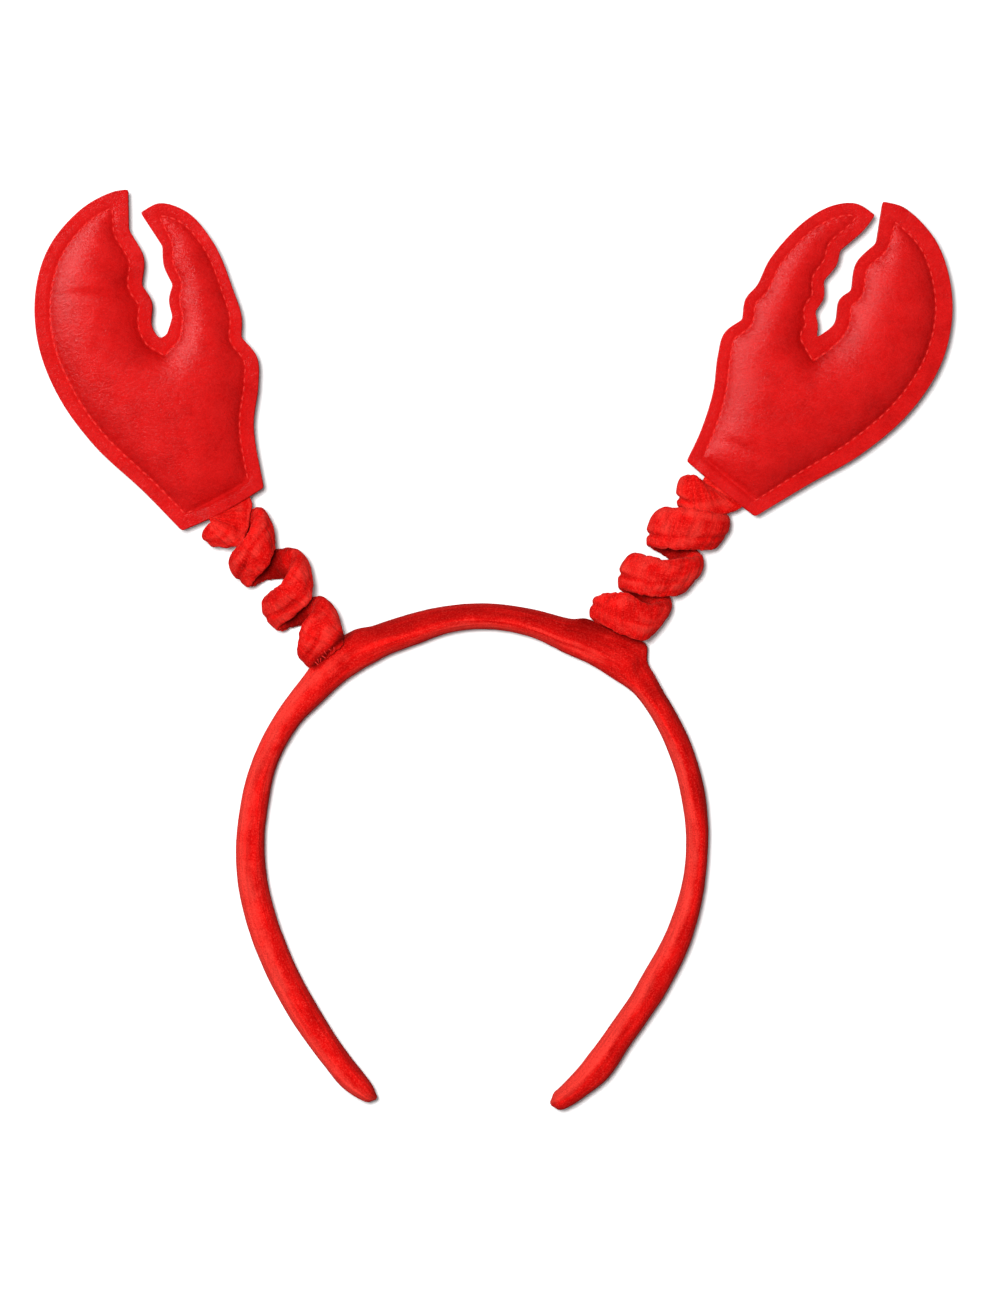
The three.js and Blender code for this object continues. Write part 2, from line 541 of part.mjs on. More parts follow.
// The part of a flat mesh where the stuffing goes, without places where it would hang on a single point.
function fillingMesh({ points, faces }) {
  let kept = faces.filter((f) => f.every((v) => points[v].depth > FILLING_INSET - 0.45));
  for (let changed = true; changed; ) {
    changed = false;
    const around = new Map();
    kept.forEach((f) => f.forEach((v) => around.set(v, [...(around.get(v) || []), f])));
    for (const [v, fan] of around) {
      const group = [fan[0]];
      for (const f of group)
        for (const g of fan)
          if (!group.includes(g) && g.filter((w) => f.includes(w)).length > 1) group.push(g);
      if (group.length < fan.length) {
        const drop = group.length < fan.length / 2 ? group : fan.filter((f) => !group.includes(f));
        kept = kept.filter((f) => !drop.includes(f));
        changed = true;
        break;
      }
    }
  }
  return { points, faces: kept };
}

function clawPieces(claw) {
  const mesh = clawMesh(claw);
  // Both faces lift off the seam plane where the flat end of the sleeve lies between them.
  const lift = mesh.points.map((p) => {
    const beside = Math.max(0, Math.abs(p.x - claw.mouth.x) - claw.mouth.halfWidth - EDGE_STEP);
    const beyond = Math.max(0, p.y - TONGUE_IN - 2 * EDGE_STEP);
    const away = Math.min(1, Math.hypot(beside, beyond) / MOUTH_FADE);
    return MOUTH_LIFT * (1 - away * away * (3 - 2 * away));
  });
  const frontRise = puff(mesh, PUFF_FRONT);
  const backRise = puff(mesh, PUFF_BACK);
  const frontTop = mesh.points.map(
    (_, i) => SEAM_PLANE_Z + SEAM_HALF_GAP + CLOTH + Math.max(lift[i], frontRise[i]),
  );
  const backLow = mesh.points.map((_, i) =>
    Math.max(0, SEAM_PLANE_Z - SEAM_HALF_GAP - CLOTH - Math.max(lift[i], backRise[i])),
  );
  const frontUp = steepness(mesh, frontTop);
  const backUp = steepness(mesh, backLow);
  const onBorder = (i) => mesh.points[i].depth <= 0;
  const frontIn = frontTop.map((z, i) => z - (onBorder(i) ? CLOTH : CLOTH / frontUp[i]));
  const backIn = backLow.map((z, i) => z + (onBorder(i) ? CLOTH : CLOTH / backUp[i]));
  const filling = fillingMesh(mesh);
  return {
    outline: mesh.outline,
    front_panel: slab(mesh, frontIn, frontTop),
    back_panel: slab(mesh, backLow, backIn),
    filling: slab(
      filling,
      backIn.map((z, i) => Math.min(SEAM_PLANE_Z - 0.3, z + FILLING_GAP / backUp[i])),
      frontIn.map((z, i) => Math.max(SEAM_PLANE_Z + 0.3, z - FILLING_GAP / frontUp[i])),
    ),
  };
}

function placed(claw, geometry) {
  return geometry
    .clone()
    .rotateZ(THREE.MathUtils.degToRad(claw.tilt))
    .translate(claw.x, claw.y, 0);
}

// ---------------------------------------------------------------- spring sleeves

function sleeveGeometry(rows) {
  const curve = new THREE.CatmullRomCurve3(
    rows.map((row) => new THREE.Vector3(row.x, row.y, row.z)),
    false,
    "centripetal",
  );
  // The coil's own axis, along which the ribbon-like sleeve is widest.
  const first = rows[2];
  const last = rows[rows.length - 2];
  const axis = new THREE.Vector3(last.x - first.x, last.y - first.y, 0).normalize();
  const sizes = tableReader(
    rows.map((row, i) => ({ ...row, index: i })),
    "index",
    ["width", "thick"],
  );
  const steps = Math.ceil(curve.getLength() / SLEEVE_STEP);
  curve.arcLengthDivisions = 900;
  curve.updateArcLengths();
  const rings = [];
  for (let i = 0; i <= steps; i++) {
    const t = curve.getUtoTmapping(i / steps);
    const at = curve.getPoint(t);
    const along = curve.getTangent(t);
    const wide = axis.clone().addScaledVector(along, -axis.dot(along)).normalize();
    const out = new THREE.Vector3().crossVectors(along, wide);
    const { width, thick } = sizes(t * (rows.length - 1));
    const ring = [];
    for (let k = 0; k < SLEEVE_SIDES; k++) {
      const { across, up } = roundedSection(k, SLEEVE_SIDES, SLEEVE_SQUARENESS);
      const p = at
        .clone()
        .addScaledVector(wide, (across * width) / 2)
        .addScaledVector(out, (up * thick) / 2);
      p.z = Math.max(0, p.z);
      ring.push(p);
    }
    rings.push(ring);
  }
  return loft(rings);
}

// A column over the claw's outline, a little larger than the claw.
function clawColumn(claw, outline) {
  const wider = moved(outline, () => -PIECE_GAP - 0.05);
  const shape = new THREE.Shape(wider.map((p) => new THREE.Vector2(p.x, p.y)));
  const column = new THREE.ExtrudeGeometry(shape, { depth: 60, bevelEnabled: false });
  return placed(claw, column.translate(0, 0, -20));
}

// The flat end of the sleeve, which is sewn between the claw's two faces.
function tongue(claw) {
  const width = 2 * claw.mouth.halfWidth - 0.6;
  const box = new THREE.BoxGeometry(width, TONGUE_IN + TONGUE_OUT, TONGUE_THICKNESS);
  box.translate(claw.mouth.x, (TONGUE_IN - TONGUE_OUT) / 2, SEAM_PLANE_Z);
  return placed(claw, box);
}

function sleeveSolid(rows, claw, outline, bandCutter) {
  const round = solidOf(sleeveGeometry(rows))
    .subtract(solidOf(clawColumn(claw, outline)))
    .subtract(bandCutter);
  return geometryOf(largestBody(largestBody(round).add(solidOf(tongue(claw)))));
}

// ---------------------------------------------------------------- assembly

const velour = () =>
  new THREE.MeshStandardMaterial({ color: 0xd81414, roughness: 0.9, metalness: 0 });
const clawCloth = () =>
  new THREE.MeshStandardMaterial({ color: 0xd11a1a, roughness: 0.85, metalness: 0 });
const stuffing = () =>
  new THREE.MeshStandardMaterial({ color: 0xece7df, roughness: 1, metalness: 0 });

function piece(name, geometry, material) {
  const mesh = new THREE.Mesh(geometry, material);
  mesh.name = name;
  return mesh;
}

const headband = new THREE.Group();
const assembly = new THREE.Group();
headband.add(assembly);
const bandCutter = solidOf(bandGeometry(PIECE_GAP + 0.05));
assembly.add(piece("headband", bandGeometry(), velour()));

for (const [side, claw, rows] of [
  ["left", LEFT_CLAW, SLEEVE_LEFT],
  ["right", RIGHT_CLAW, SLEEVE_RIGHT],
]) {
  const pieces = clawPieces(claw);
  assembly.add(
    piece("spring_sleeve_" + side, sleeveSolid(rows, claw, pieces.outline, bandCutter), velour()),
  );
  const group = new THREE.Group();
  group.position.set(claw.x, claw.y, 0);
  group.rotation.z = THREE.MathUtils.degToRad(claw.tilt);
  group.add(piece("claw_" + side + "_front_panel", pieces.front_panel, clawCloth()));
  group.add(piece("claw_" + side + "_back_panel", pieces.back_panel, clawCloth()));
  group.add(piece("claw_" + side + "_filling", pieces.filling, stuffing()));
  assembly.add(group);
}

// The origin is the middle of the plan, on the surface that everything rests on.
const middle = new THREE.Box3().setFromObject(assembly, true).getCenter(new THREE.Vector3());
assembly.position.set(-middle.x, -middle.y, 0);

export default headband;
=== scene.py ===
import math

import bpy
import numpy as np
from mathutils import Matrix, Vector
from mathutils.bvhtree import BVHTree
from mathutils.geometry import delaunay_2d_cdt


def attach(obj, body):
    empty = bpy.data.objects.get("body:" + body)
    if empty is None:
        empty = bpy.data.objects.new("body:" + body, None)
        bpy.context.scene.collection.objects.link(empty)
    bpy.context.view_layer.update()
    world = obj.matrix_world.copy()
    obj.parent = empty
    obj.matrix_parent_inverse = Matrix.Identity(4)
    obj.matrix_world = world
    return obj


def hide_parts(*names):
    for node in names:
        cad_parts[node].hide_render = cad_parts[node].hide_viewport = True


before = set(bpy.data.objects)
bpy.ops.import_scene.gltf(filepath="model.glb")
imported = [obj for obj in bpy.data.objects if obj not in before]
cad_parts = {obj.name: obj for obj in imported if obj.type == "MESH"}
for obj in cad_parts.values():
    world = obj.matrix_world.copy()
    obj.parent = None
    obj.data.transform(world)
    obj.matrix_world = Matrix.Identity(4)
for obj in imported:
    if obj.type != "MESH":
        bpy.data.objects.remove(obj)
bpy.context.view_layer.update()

# ------------------------------------------------------------------ sizes, mm

MM = 0.001
SHIFT = np.array([-0.13, 0.17, 0.0])  # the plan's middle is the origin

BAND_CENTRE = np.array([-5.7, -60.15])
BAND_HEIGHT = 11.4

SEAM_Z = 8.4
CLOTH = 1.0
SEAM_GAP = 0.12
PUFF_FRONT = 8.0
PUFF_BACK = 9.2
PUFF_RISE = 5.6
FILLING_INSET = 2.4
FILLING_GAP = 0.35
STITCH_PITCH = 2.65
STITCH_LENGTH = 1.75
THREAD = 0.44

JUNCTION = [(-43.2, 5.2), (-53.6, -5.2)]  # ends of the line where the left sleeve is sewn to the band
# Painted shade on the band: a painted shadow under the right sleeve, and darker patches below the gusset and at the
# start of the right arm. For each, the line it follows, how far it reaches and how strong it is.
PAINTED_SHADE_PLACES = [
    ("under the right sleeve", (27.4, 9.2), (46.0, 1.6), 2.1, 0.44),
    ("below the gusset", (43.0, -3.5), (48.6, -13.0), 3.0, 0.20),
    ("start of the right arm", (51.5, -13.5), (64.0, -47.0), 3.0, 0.20),
]

# Ribs of the velour: how many there are in a millimetre along a tube, and round it.
RIBS_ROUND_STRAND = (1.35, 0.16)
RIBS_ALONG_BAND = (0.075, 1.15)

PHOTO_MM = (300.0, 389.1)  # what the view holds, across and up
VIEW_MIDDLE = (1.97, 0.47)
CAMERA_AWAY = 1.6

CORNER, SMOOTH = True, False

# ------------------------------------------------------------------ tables

BAND_COLUMNS = ("angle", "inner", "outer", "height")
BAND = [
    (-73.2, 78.6, 80.6, 0.45),
    (-72.4, 77.2, 82.0, 0.75),
    (-70.5, 76.1, 82.4, 0.95),
    (-66.0, 73.5, 81.3, 1),
    (-60.0, 70.1, 79.7, 1),
    (-52.0, 66.7, 75.4, 1),
    (-45.0, 64.8, 73.2, 1),
    (-35.0, 62.9, 71.7, 1),
    (-20.0, 62.8, 70.5, 1),
    (-5.0, 63.5, 70.1, 1),
    (10.0, 64.0, 71.1, 1),
    (25.0, 65.1, 72.5, 1),
    (38.0, 66.6, 73.8, 1),
    (44.0, 67.2, 75.4, 1),
    (47.5, 66.8, 76.8, 1),
    (50.0, 66.3, 80.3, 1),
    (57.0, 65.7, 78.3, 1),
    (64.0, 65.0, 77.2, 1),
    (67.5, 65.2, 75.2, 1),
    (76.0, 66.2, 74.4, 1),
    (88.0, 66.3, 74.1, 1),
    (97.0, 65.5, 73.7, 1),
    (105.0, 64.1, 73.4, 1),
    (114.0, 63.9, 73.8, 1),
    (119.0, 63.7, 75.3, 1),
    (128.0, 63.7, 74.6, 1),
    (136.0, 63.7, 72.9, 1),
    (145.0, 64.6, 72.2, 1),
    (157.0, 64.4, 71.9, 1),
    (170.0, 63.2, 71.3, 1),
    (185.0, 62.9, 71.6, 1),
    (200.0, 62.8, 71.8, 1),
    (212.0, 63.8, 72.8, 1),
    (225.0, 66.5, 75.5, 1),
    (235.0, 70.4, 78.9, 1),
    (241.0, 73.4, 81.6, 1),
    (245.5, 76.1, 82.4, 0.95),
    (247.6, 77.9, 82.2, 0.75),
    (248.6, 79.0, 81.2, 0.45),
]

# The sleeves as ribbons, from the claw's mouth to the band. Each row is a line across the ribbon: its edge towards the
# claw (ax, ay), its edge towards the band (bx, by), how high it lies, how thick it is, and where and how deep the long
# fold in it is (from -1 at the first edge to 1 at the second).
SLEEVE_COLUMNS = ("ax", "ay", "bx", "by", "z", "thick", "crease", "dent")
SLEEVE_LEFT = [
    ("inside", -86.0, 44.6, -74.1, 48.5, 8.4, 1.7, 0.00, 0.0),
    ("mouth", -85.4, 40.2, -72.3, 43.6, 8.4, 2.1, 0.00, 0.0),
    ("front_1", -84.6, 38.4, -75.5, 31.4, 11.0, 4.8, 0.10, 0.3),
    ("left_1", -86.0, 36.5, -82.8, 30.8, 8.4, 5.0, 0.10, 0.3),
    ("back_1", -78.2, 38.9, -74.4, 31.4, 2.6, 5.2, 0.00, 0.0),
    ("right_1", -70.5, 42.4, -66.2, 31.7, 8.4, 5.2, -0.20, 0.2),
    ("front_2", -73.6, 33.9, -66.5, 26.3, 14.0, 5.2, -0.25, 0.6),
    ("left_2", -78.5, 28.0, -73.1, 19.0, 8.4, 5.2, 0.45, 1.0),
    ("back_2", -69.5, 29.4, -66.0, 21.3, 2.6, 5.0, 0.00, 0.0),
    ("right_2", -59.6, 29.8, -55.3, 20.1, 8.4, 5.2, 0.30, 0.3),
    ("front_3", -62.2, 21.2, -54.8, 14.6, 14.0, 4.8, 0.35, 0.5),
    ("left_3", -68.0, 15.7, -64.5, 5.8, 8.4, 5.2, 0.20, 0.4),
    ("back_3", -60.9, 14.5, -57.7, 7.3, 2.6, 5.0, 0.00, 0.0),
    ("right_3", -52.3, 15.2, -46.3, 6.2, 8.4, 5.4, -0.10, 0.3),
    ("front_4", -57.3, 6.8, -45.5, 1.0, 12.8, 5.2, -0.10, 0.4),
    ("left_4", -57.8, 1.5, -53.4, -5.6, 8.6, 5.0, 0.10, 0.3),
    ("band", -53.8, 2.3, -48.5, -4.3, 4.2, 4.8, 0.00, 0.0),
]
SLEEVE_RIGHT = [
    ("inside", 65.5, 54.8, 76.8, 47.8, 8.4, 1.7, 0.00, 0.0),
    ("mouth", 62.4, 50.5, 75.0, 43.0, 8.4, 2.1, 0.00, 0.0),
    ("front_1", 60.4, 52.3, 63.2, 40.0, 11.2, 4.6, 0.35, 0.5),
    ("left_1", 58.5, 52.1, 56.0, 43.1, 8.4, 5.0, 0.45, 0.9),
    ("back_1", 65.1, 45.4, 61.5, 37.4, 2.6, 5.2, 0.00, 0.0),
    ("right_1", 69.5, 40.6, 66.7, 30.9, 8.4, 5.2, 0.30, 0.5),
    ("front_2", 60.6, 41.9, 56.5, 29.7, 14.0, 5.2, 0.32, 0.4),
    ("left_2", 50.9, 41.9, 46.7, 30.9, 8.4, 5.2, 0.42, 1.0),
    ("back_2", 57.1, 34.4, 53.1, 27.0, 2.6, 5.0, 0.00, 0.0),
    ("right_2", 62.2, 28.1, 56.5, 17.4, 8.4, 5.2, 0.20, 0.4),
    ("start_3", 57.6, 27.5, 53.3, 16.1, 12.6, 5.0, 0.28, 0.3),
    ("front_3", 50.9, 26.9, 47.1, 15.8, 14.0, 5.0, 0.32, 0.4),
    ("left_3", 42.4, 28.9, 38.2, 18.0, 8.4, 5.2, 0.22, 1.0),
    ("back_3", 47.9, 21.6, 44.5, 13.4, 2.6, 5.0, 0.00, 0.0),
    ("right_3", 52.5, 15.2, 47.2, 5.3, 8.4, 5.2, 0.10, 0.4),
    ("start_4", 47.3, 13.7, 45.2, 2.6, 12.4, 4.6, 0.10, 0.3),
    ("front_4", 39.8, 16.8, 39.0, 4.1, 13.6, 4.8, 0.10, 0.3),
    ("left_4", 33.3, 15.9, 29.3, 9.6, 8.4, 4.6, 0.10, 0.8),
    ("band", 38.5, 10.7, 35.9, 4.0, 4.2, 4.4, 0.00, 0.0),
]

# Claw outlines in the claw's own frame: x, y, whether the outline turns sharply there, and the border's width.
LEFT_CLAW = {
    "name": "left",
    "at": (-80.7, 41.85),
    "tilt": 15.87,
    "mouth": 2.6,
    "gap_stitch": (-4.4, 49.3, 4.4),
    "dimples": [(-17.6, 71.8, -16, 8.5, 1.35, 1.2), (-22.0, 58.0, 60, 9.0, 2.2, 0.25)],
    "rows": [
        ("base_outer", -13.8, -2.6, CORNER, 4.2),
        ("outer_edge_1", -21.6, 11.8, SMOOTH, 4.2),
        ("outer_edge_2", -32.2, 29.4, SMOOTH, 4.4),
        ("outer_edge_3", -38.5, 46.8, SMOOTH, 4.8),
        ("outer_edge_4", -39.9, 63.7, SMOOTH, 4.7),
        ("outer_edge_5", -36.2, 78.9, SMOOTH, 4.7),
        ("outer_edge_6", -28.5, 90.5, SMOOTH, 4.6),
        ("outer_edge_7", -16.3, 98.5, SMOOTH, 4.4),
        ("outer_edge_8", -6.3, 100.8, SMOOTH, 4.6),
        ("big_tip", -1.3, 100.3, CORNER, 5.0),
        ("tooth_1_start", -4.4, 88.7, CORNER, 4.6),
        ("tooth_1", -2.4, 79.3, SMOOTH, 4.4),
        ("tooth_1_end", -5.2, 71.7, CORNER, 4.2),
        ("tooth_2", -3.7, 65.9, SMOOTH, 4.0),
        ("gap_side", -5.7, 59.0, SMOOTH, 3.9),
        ("gap_floor", -4.2, 54.8, SMOOTH, 4.2),
        ("gap_corner", -1.9, 55.4, CORNER, 4.2),
        ("tooth_3_start", 1.0, 59.9, CORNER, 3.2),
        ("tooth_3", 1.4, 65.1, SMOOTH, 3.2),
        ("tooth_3_end", 3.7, 69.1, CORNER, 2.9),
        ("tooth_4", 2.7, 75.3, SMOOTH, 3.0),
        ("tooth_4_end", 3.9, 81.1, CORNER, 3.2),
        ("small_tip", 0.3, 92.6, CORNER, 4.6),
        ("small_edge_1", 6.7, 93.7, SMOOTH, 4.0),
        ("small_edge_2", 14.0, 88.7, SMOOTH, 3.6),
        ("small_edge_3", 19.1, 77.2, SMOOTH, 3.2),
        ("small_edge_4", 20.7, 63.0, SMOOTH, 3.2),
        ("small_edge_5", 21.0, 54.5, SMOOTH, 3.4),
        ("waist", 19.2, 48.5, CORNER, 3.6),
        ("knuckle_1", 22.1, 41.4, SMOOTH, 4.0),
        ("knuckle_2", 20.2, 33.2, SMOOTH, 4.2),
        ("inner_edge", 15.5, 21.8, SMOOTH, 4.2),
        ("base_inner", 13.3, 3.1, CORNER, 4.2),
        ("base_middle", -0.8, -0.7, SMOOTH, 4.4),
    ],
}
RIGHT_CLAW = {
    "name": "right",
    "at": (67.8, 48.15),
    "tilt": -29.5,
    "mouth": 0.3,
    "gap_stitch": (5.6, 47.2, 5.2),
    "dimples": [(-1.8, 13.6, 8, 9.0, 1.7, 0.85), (4.0, 30.0, 40, 10.0, 2.4, 0.22)],
    "rows": [
        ("base_inner", -12.6, 2.5, CORNER, 3.8),
        ("inner_edge_1", -13.4, 12.7, SMOOTH, 3.8),
        ("inner_edge_2", -16.0, 24.7, SMOOTH, 3.8),
        ("inner_edge_3", -20.0, 34.5, SMOOTH, 3.8),
        ("knuckle", -21.7, 41.5, SMOOTH, 3.6),
        ("waist", -19.0, 47.7, CORNER, 3.4),
        ("small_edge_1", -21.2, 53.5, SMOOTH, 3.4),
        ("small_edge_2", -20.2, 58.9, SMOOTH, 3.6),
        ("small_edge_3", -20.7, 67.6, SMOOTH, 3.6),
        ("small_edge_4", -17.3, 82.3, SMOOTH, 3.6),
        ("small_edge_5", -12.3, 90.6, SMOOTH, 3.8),
        ("small_edge_6", -6.3, 94.7, SMOOTH, 3.8),
        ("small_tip", 0.3, 94.5, CORNER, 4.6),
        ("small_edge_7", -0.4, 89.0, SMOOTH, 4.2),
        ("tooth_1_start", -3.6, 80.0, CORNER, 4.0),
        ("tooth_1", -2.4, 75.8, SMOOTH, 4.0),
        ("tooth_1_end", -3.4, 69.7, CORNER, 3.6),
        ("tooth_2", -0.9, 65.3, SMOOTH, 3.6),
        ("tooth_2_end", -1.1, 60.4, CORNER, 3.6),
        ("tooth_3", 1.5, 57.4, SMOOTH, 3.6),
        ("gap_corner", 3.1, 53.8, CORNER, 5.4),
        ("gap_side", 5.6, 60.2, SMOOTH, 4.4),
        ("tooth_4", 3.4, 67.1, SMOOTH, 4.0),
        ("tooth_4_end", 5.1, 71.3, CORNER, 3.8),
        ("tooth_5", 2.4, 79.2, SMOOTH, 3.8),
        ("tooth_5_end", 4.6, 87.4, CORNER, 4.0),
        ("big_tip", 0.2, 99.2, CORNER, 5.4),
        ("outer_edge_1", 6.8, 100.7, SMOOTH, 5.2),
        ("outer_edge_2", 19.6, 96.9, SMOOTH, 5.0),
        ("outer_edge_3", 29.3, 88.6, SMOOTH, 5.0),
        ("outer_edge_4", 36.0, 78.0, SMOOTH, 5.0),
        ("outer_edge_5", 39.6, 64.1, SMOOTH, 5.2),
        ("outer_edge_6", 38.3, 47.5, SMOOTH, 5.2),
        ("outer_edge_7", 31.8, 29.7, SMOOTH, 5.0),
        ("outer_edge_8", 22.6, 14.2, SMOOTH, 4.4),
        ("base_outer", 13.5, -1.9, CORNER, 4.0),
        ("base_middle", 0.7, 0.0, SMOOTH, 4.2),
    ],
}

# ------------------------------------------------------------------ small tools


def lattice(ix, iy, iz, seed):
    m = np.uint64(0xFFFFFFFF)
    h = (
        ix.astype(np.int64).astype(np.uint64) * np.uint64(374761393)
        + iy.astype(np.int64).astype(np.uint64) * np.uint64(668265263)
        + iz.astype(np.int64).astype(np.uint64) * np.uint64(2246822519)
        + np.uint64(seed * 3266489917 % 4294967296)
    ) & m
    h = ((h ^ (h >> np.uint64(15))) * np.uint64(2246822519)) & m
    h = ((h ^ (h >> np.uint64(13))) * np.uint64(3266489917)) & m
    h = h ^ (h >> np.uint64(16))
    return h.astype(np.float64) / 2147483648.0 - 1.0


def noise(points, size, seed=1, octaves=1):
    """Smooth value noise from -1 to 1 at points (n, 3), with features about size long (one number or three)."""
    total = np.zeros(len(points))
    gain, share = 1.0, 0.0
    q = np.asarray(points, float) / np.asarray(size, float)
    for octave in range(octaves):
        base = np.floor(q)
        f = q - base
        f = f * f * (3 - 2 * f)
        value = np.zeros(len(q))
        for corner in range(8):
            d = [(corner >> k) & 1 for k in range(3)]
            weight = np.ones(len(q))
            for k in range(3):
                weight = weight * (f[:, k] if d[k] else 1 - f[:, k])
            value += weight * lattice(base[:, 0] + d[0], base[:, 1] + d[1], base[:, 2] + d[2], seed + octave)
        total += gain * value
        share += gain
        gain *= 0.5
        q = q * 2.03 + 17.1
    return total / share


def smoothstep(a, b, x):
    t = np.clip((np.asarray(x, float) - a) / (b - a), 0, 1)
    return t * t * (3 - 2 * t)


def read_table(at, along, values):
    """Smooth curve through the rows of a table, for each number in at."""
    along = np.asarray(along, float)
    values = np.asarray(values, float)
    at = np.asarray(at, float)
    n = len(along)
    i = np.clip(np.searchsorted(along, at, side="right") - 1, 0, n - 2)
    lo, hi = np.maximum(np.arange(n) - 1, 0), np.minimum(np.arange(n) + 1, n - 1)
    slope = (values[hi] - values[lo]) / (along[hi] - along[lo])
    span = along[i + 1] - along[i]
    t = np.clip((at - along[i]) / span, 0, 1)
    return (
        values[i] * (2 * t**3 - 3 * t**2 + 1)
        + values[i + 1] * (3 * t**2 - 2 * t**3)
        + span * (slope[i] * (t**3 - 2 * t**2 + t) + slope[i + 1] * (t**3 - t**2))
    )


def curve_through(rows, per_span=24):
    """Centripetal curve through rows of numbers; also the row position of each sample."""
    p = np.asarray(rows, float)
    if len(p) == 2:
        t = np.linspace(0, 1, per_span + 1)[:, None]
        return p[0] + (p[1] - p[0]) * t, t[:, 0]
    p = np.vstack([2 * p[0] - p[1], p, 2 * p[-1] - p[-2]])
    out, where = [], []
    for i in range(1, len(p) - 2):
        a, b, c, d = p[i - 1 : i + 3]
        dt = [max(1e-4, np.linalg.norm(v - u) ** 0.5) for u, v in ((a, b), (b, c), (c, d))]
        m1 = ((b - a) / dt[0] - (c - a) / (dt[0] + dt[1]) + (c - b) / dt[1]) * dt[1]
        m2 = ((c - b) / dt[1] - (d - b) / (dt[1] + dt[2]) + (d - c) / dt[2]) * dt[1]
        last = i == len(p) - 3
        t = np.linspace(0, 1, per_span + 1)[: None if last else -1, None]
        out.append(
            b * (2 * t**3 - 3 * t**2 + 1)
            + c * (3 * t**2 - 2 * t**3)
            + m1 * (t**3 - 2 * t**2 + t)
            + m2 * (t**3 - t**2)
        )
        where.append(i - 1 + t[:, 0])
    return np.vstack(out), np.concatenate(where)


def arc(points):
    return np.concatenate([[0], np.cumsum(np.linalg.norm(np.diff(points, axis=0), axis=1))])


def resample(points, step, closed=False):
    """Points at even steps along a polyline; closed polylines come back without the repeated end."""
    if closed:
        points = np.vstack([points, points[:1]])
    s = arc(points[:, :2] if points.shape[1] < 4 else points[:, :3])
    count = max(2, int(round(s[-1] / step)))
    at = np.linspace(0, s[-1], count + 1)
    out = np.stack([np.interp(at, s, points[:, k]) for k in range(points.shape[1])], axis=1)
    return out[:-1] if closed else out


def softened(points, reach, step):
    """A closed polyline with its corners rounded over about reach."""
    k = max(1, int(round(reach / step)))
    w = np.exp(-0.5 * (np.arange(-2 * k, 2 * k + 1) / max(0.5, k * 0.7)) ** 2)
    w /= w.sum()
    n = len(points)
    index = (np.arange(n)[:, None] + np.arange(-2 * k, 2 * k + 1)[None, :]) % n
    return (points[index] * w[None, :, None]).sum(axis=1)


def new_mesh(name, points_mm, faces, smooth=True):
    me = bpy.data.meshes.new(name)
    me.from_pydata((np.asarray(points_mm) * MM).tolist(), [], [tuple(map(int, f)) for f in faces])
    me.validate()
    me.update()
    ob = bpy.data.objects.new(name, me)
    bpy.context.scene.collection.objects.link(ob)
    if smooth:
        me.polygons.foreach_set("use_smooth", [True] * len(me.polygons))
    return ob


def grid_faces(rings, sides, closed_round=True):
    i, k = np.meshgrid(np.arange(rings - 1), np.arange(sides if closed_round else sides - 1), indexing="ij")
    a = i * sides + k
    b = i * sides + (k + 1) % sides
    return np.stack([a, b, b + sides, a + sides], axis=-1).reshape(-1, 4)


def face_out(points, faces):
    """Turns all faces round if the closed body they make is inside out."""
    volume = 0.0
    for f in faces:
        tri = [(f[0], f[i], f[i + 1]) for i in range(1, len(f) - 1)]
        for a, b, c in tri:
            volume += np.dot(points[a], np.cross(points[b], points[c]))
    return faces if volume > 0 else [tuple(reversed(f)) for f in faces]


def tube(name, rings, run, shade, ribs):
    """Closed body through rings (n, sides, 3) in mm. run is the length along it at each ring, shade the painted light
    and shade and the tone that differs at random at each point, and ribs how close the velour's ribs lie."""
    n, sides, _ = rings.shape
    points = rings.reshape(-1, 3)
    ends = np.stack([rings[0].mean(axis=0), rings[-1].mean(axis=0)])
    points = np.vstack([points, ends])
    faces = [tuple(f) for f in grid_faces(n, sides)]
    first, last = n * sides, n * sides + 1
    for k in range(sides):
        j = (k + 1) % sides
        faces.append((first, j, k))
        faces.append((last, (n - 1) * sides + k, (n - 1) * sides + j))
    sample = rings[n // 2]
    middle = sample.mean(axis=0)
    f = faces[(n // 2) * sides]
    normal = np.cross(points[f[1]] - points[f[0]], points[f[2]] - points[f[0]])
    if np.dot(normal, points[f[0]] - middle) < 0:
        faces = [tuple(reversed(f)) for f in faces]
    ob = new_mesh(name, points, faces)
    turn = 2 * np.pi * np.arange(sides) / sides
    weave = np.zeros((n, sides, 3))
    weave[:, :, 0] = np.asarray(run)[:, None]
    weave[:, :, 1] = 5.2 * np.cos(turn)
    weave[:, :, 2] = 5.2 * np.sin(turn)
    weave = np.vstack([weave.reshape(-1, 3), weave[0, :1], weave[-1, :1]])
    rib_at = weave * np.array([ribs[0], ribs[1], ribs[1]])
    shade = np.broadcast_to(shade, (n, sides))
    shade = np.concatenate([shade.ravel(), shade[0, :1], shade[-1, :1]])
    ob.data.attributes.new("weave", "FLOAT_VECTOR", "POINT").data.foreach_set("vector", weave.ravel())
    ob.data.attributes.new("rib_at", "FLOAT_VECTOR", "POINT").data.foreach_set("vector", rib_at.ravel())
    ob.data.attributes.new("shade", "FLOAT", "POINT").data.foreach_set("value", shade)
    return ob


def ring_normals(rings):
    """Outward normals of a tube's grid."""
    along = np.gradient(rings, axis=0)
    round_ = np.roll(rings, -1, axis=1) - np.roll(rings, 1, axis=1)
    normal = np.cross(round_, along)
    normal /= np.linalg.norm(normal, axis=2, keepdims=True) + 1e-9
    outward = rings - rings.mean(axis=1, keepdims=True)
    if (normal * outward).sum() < 0:
        normal = -normal
    return normal


# ------------------------------------------------------------------ materials


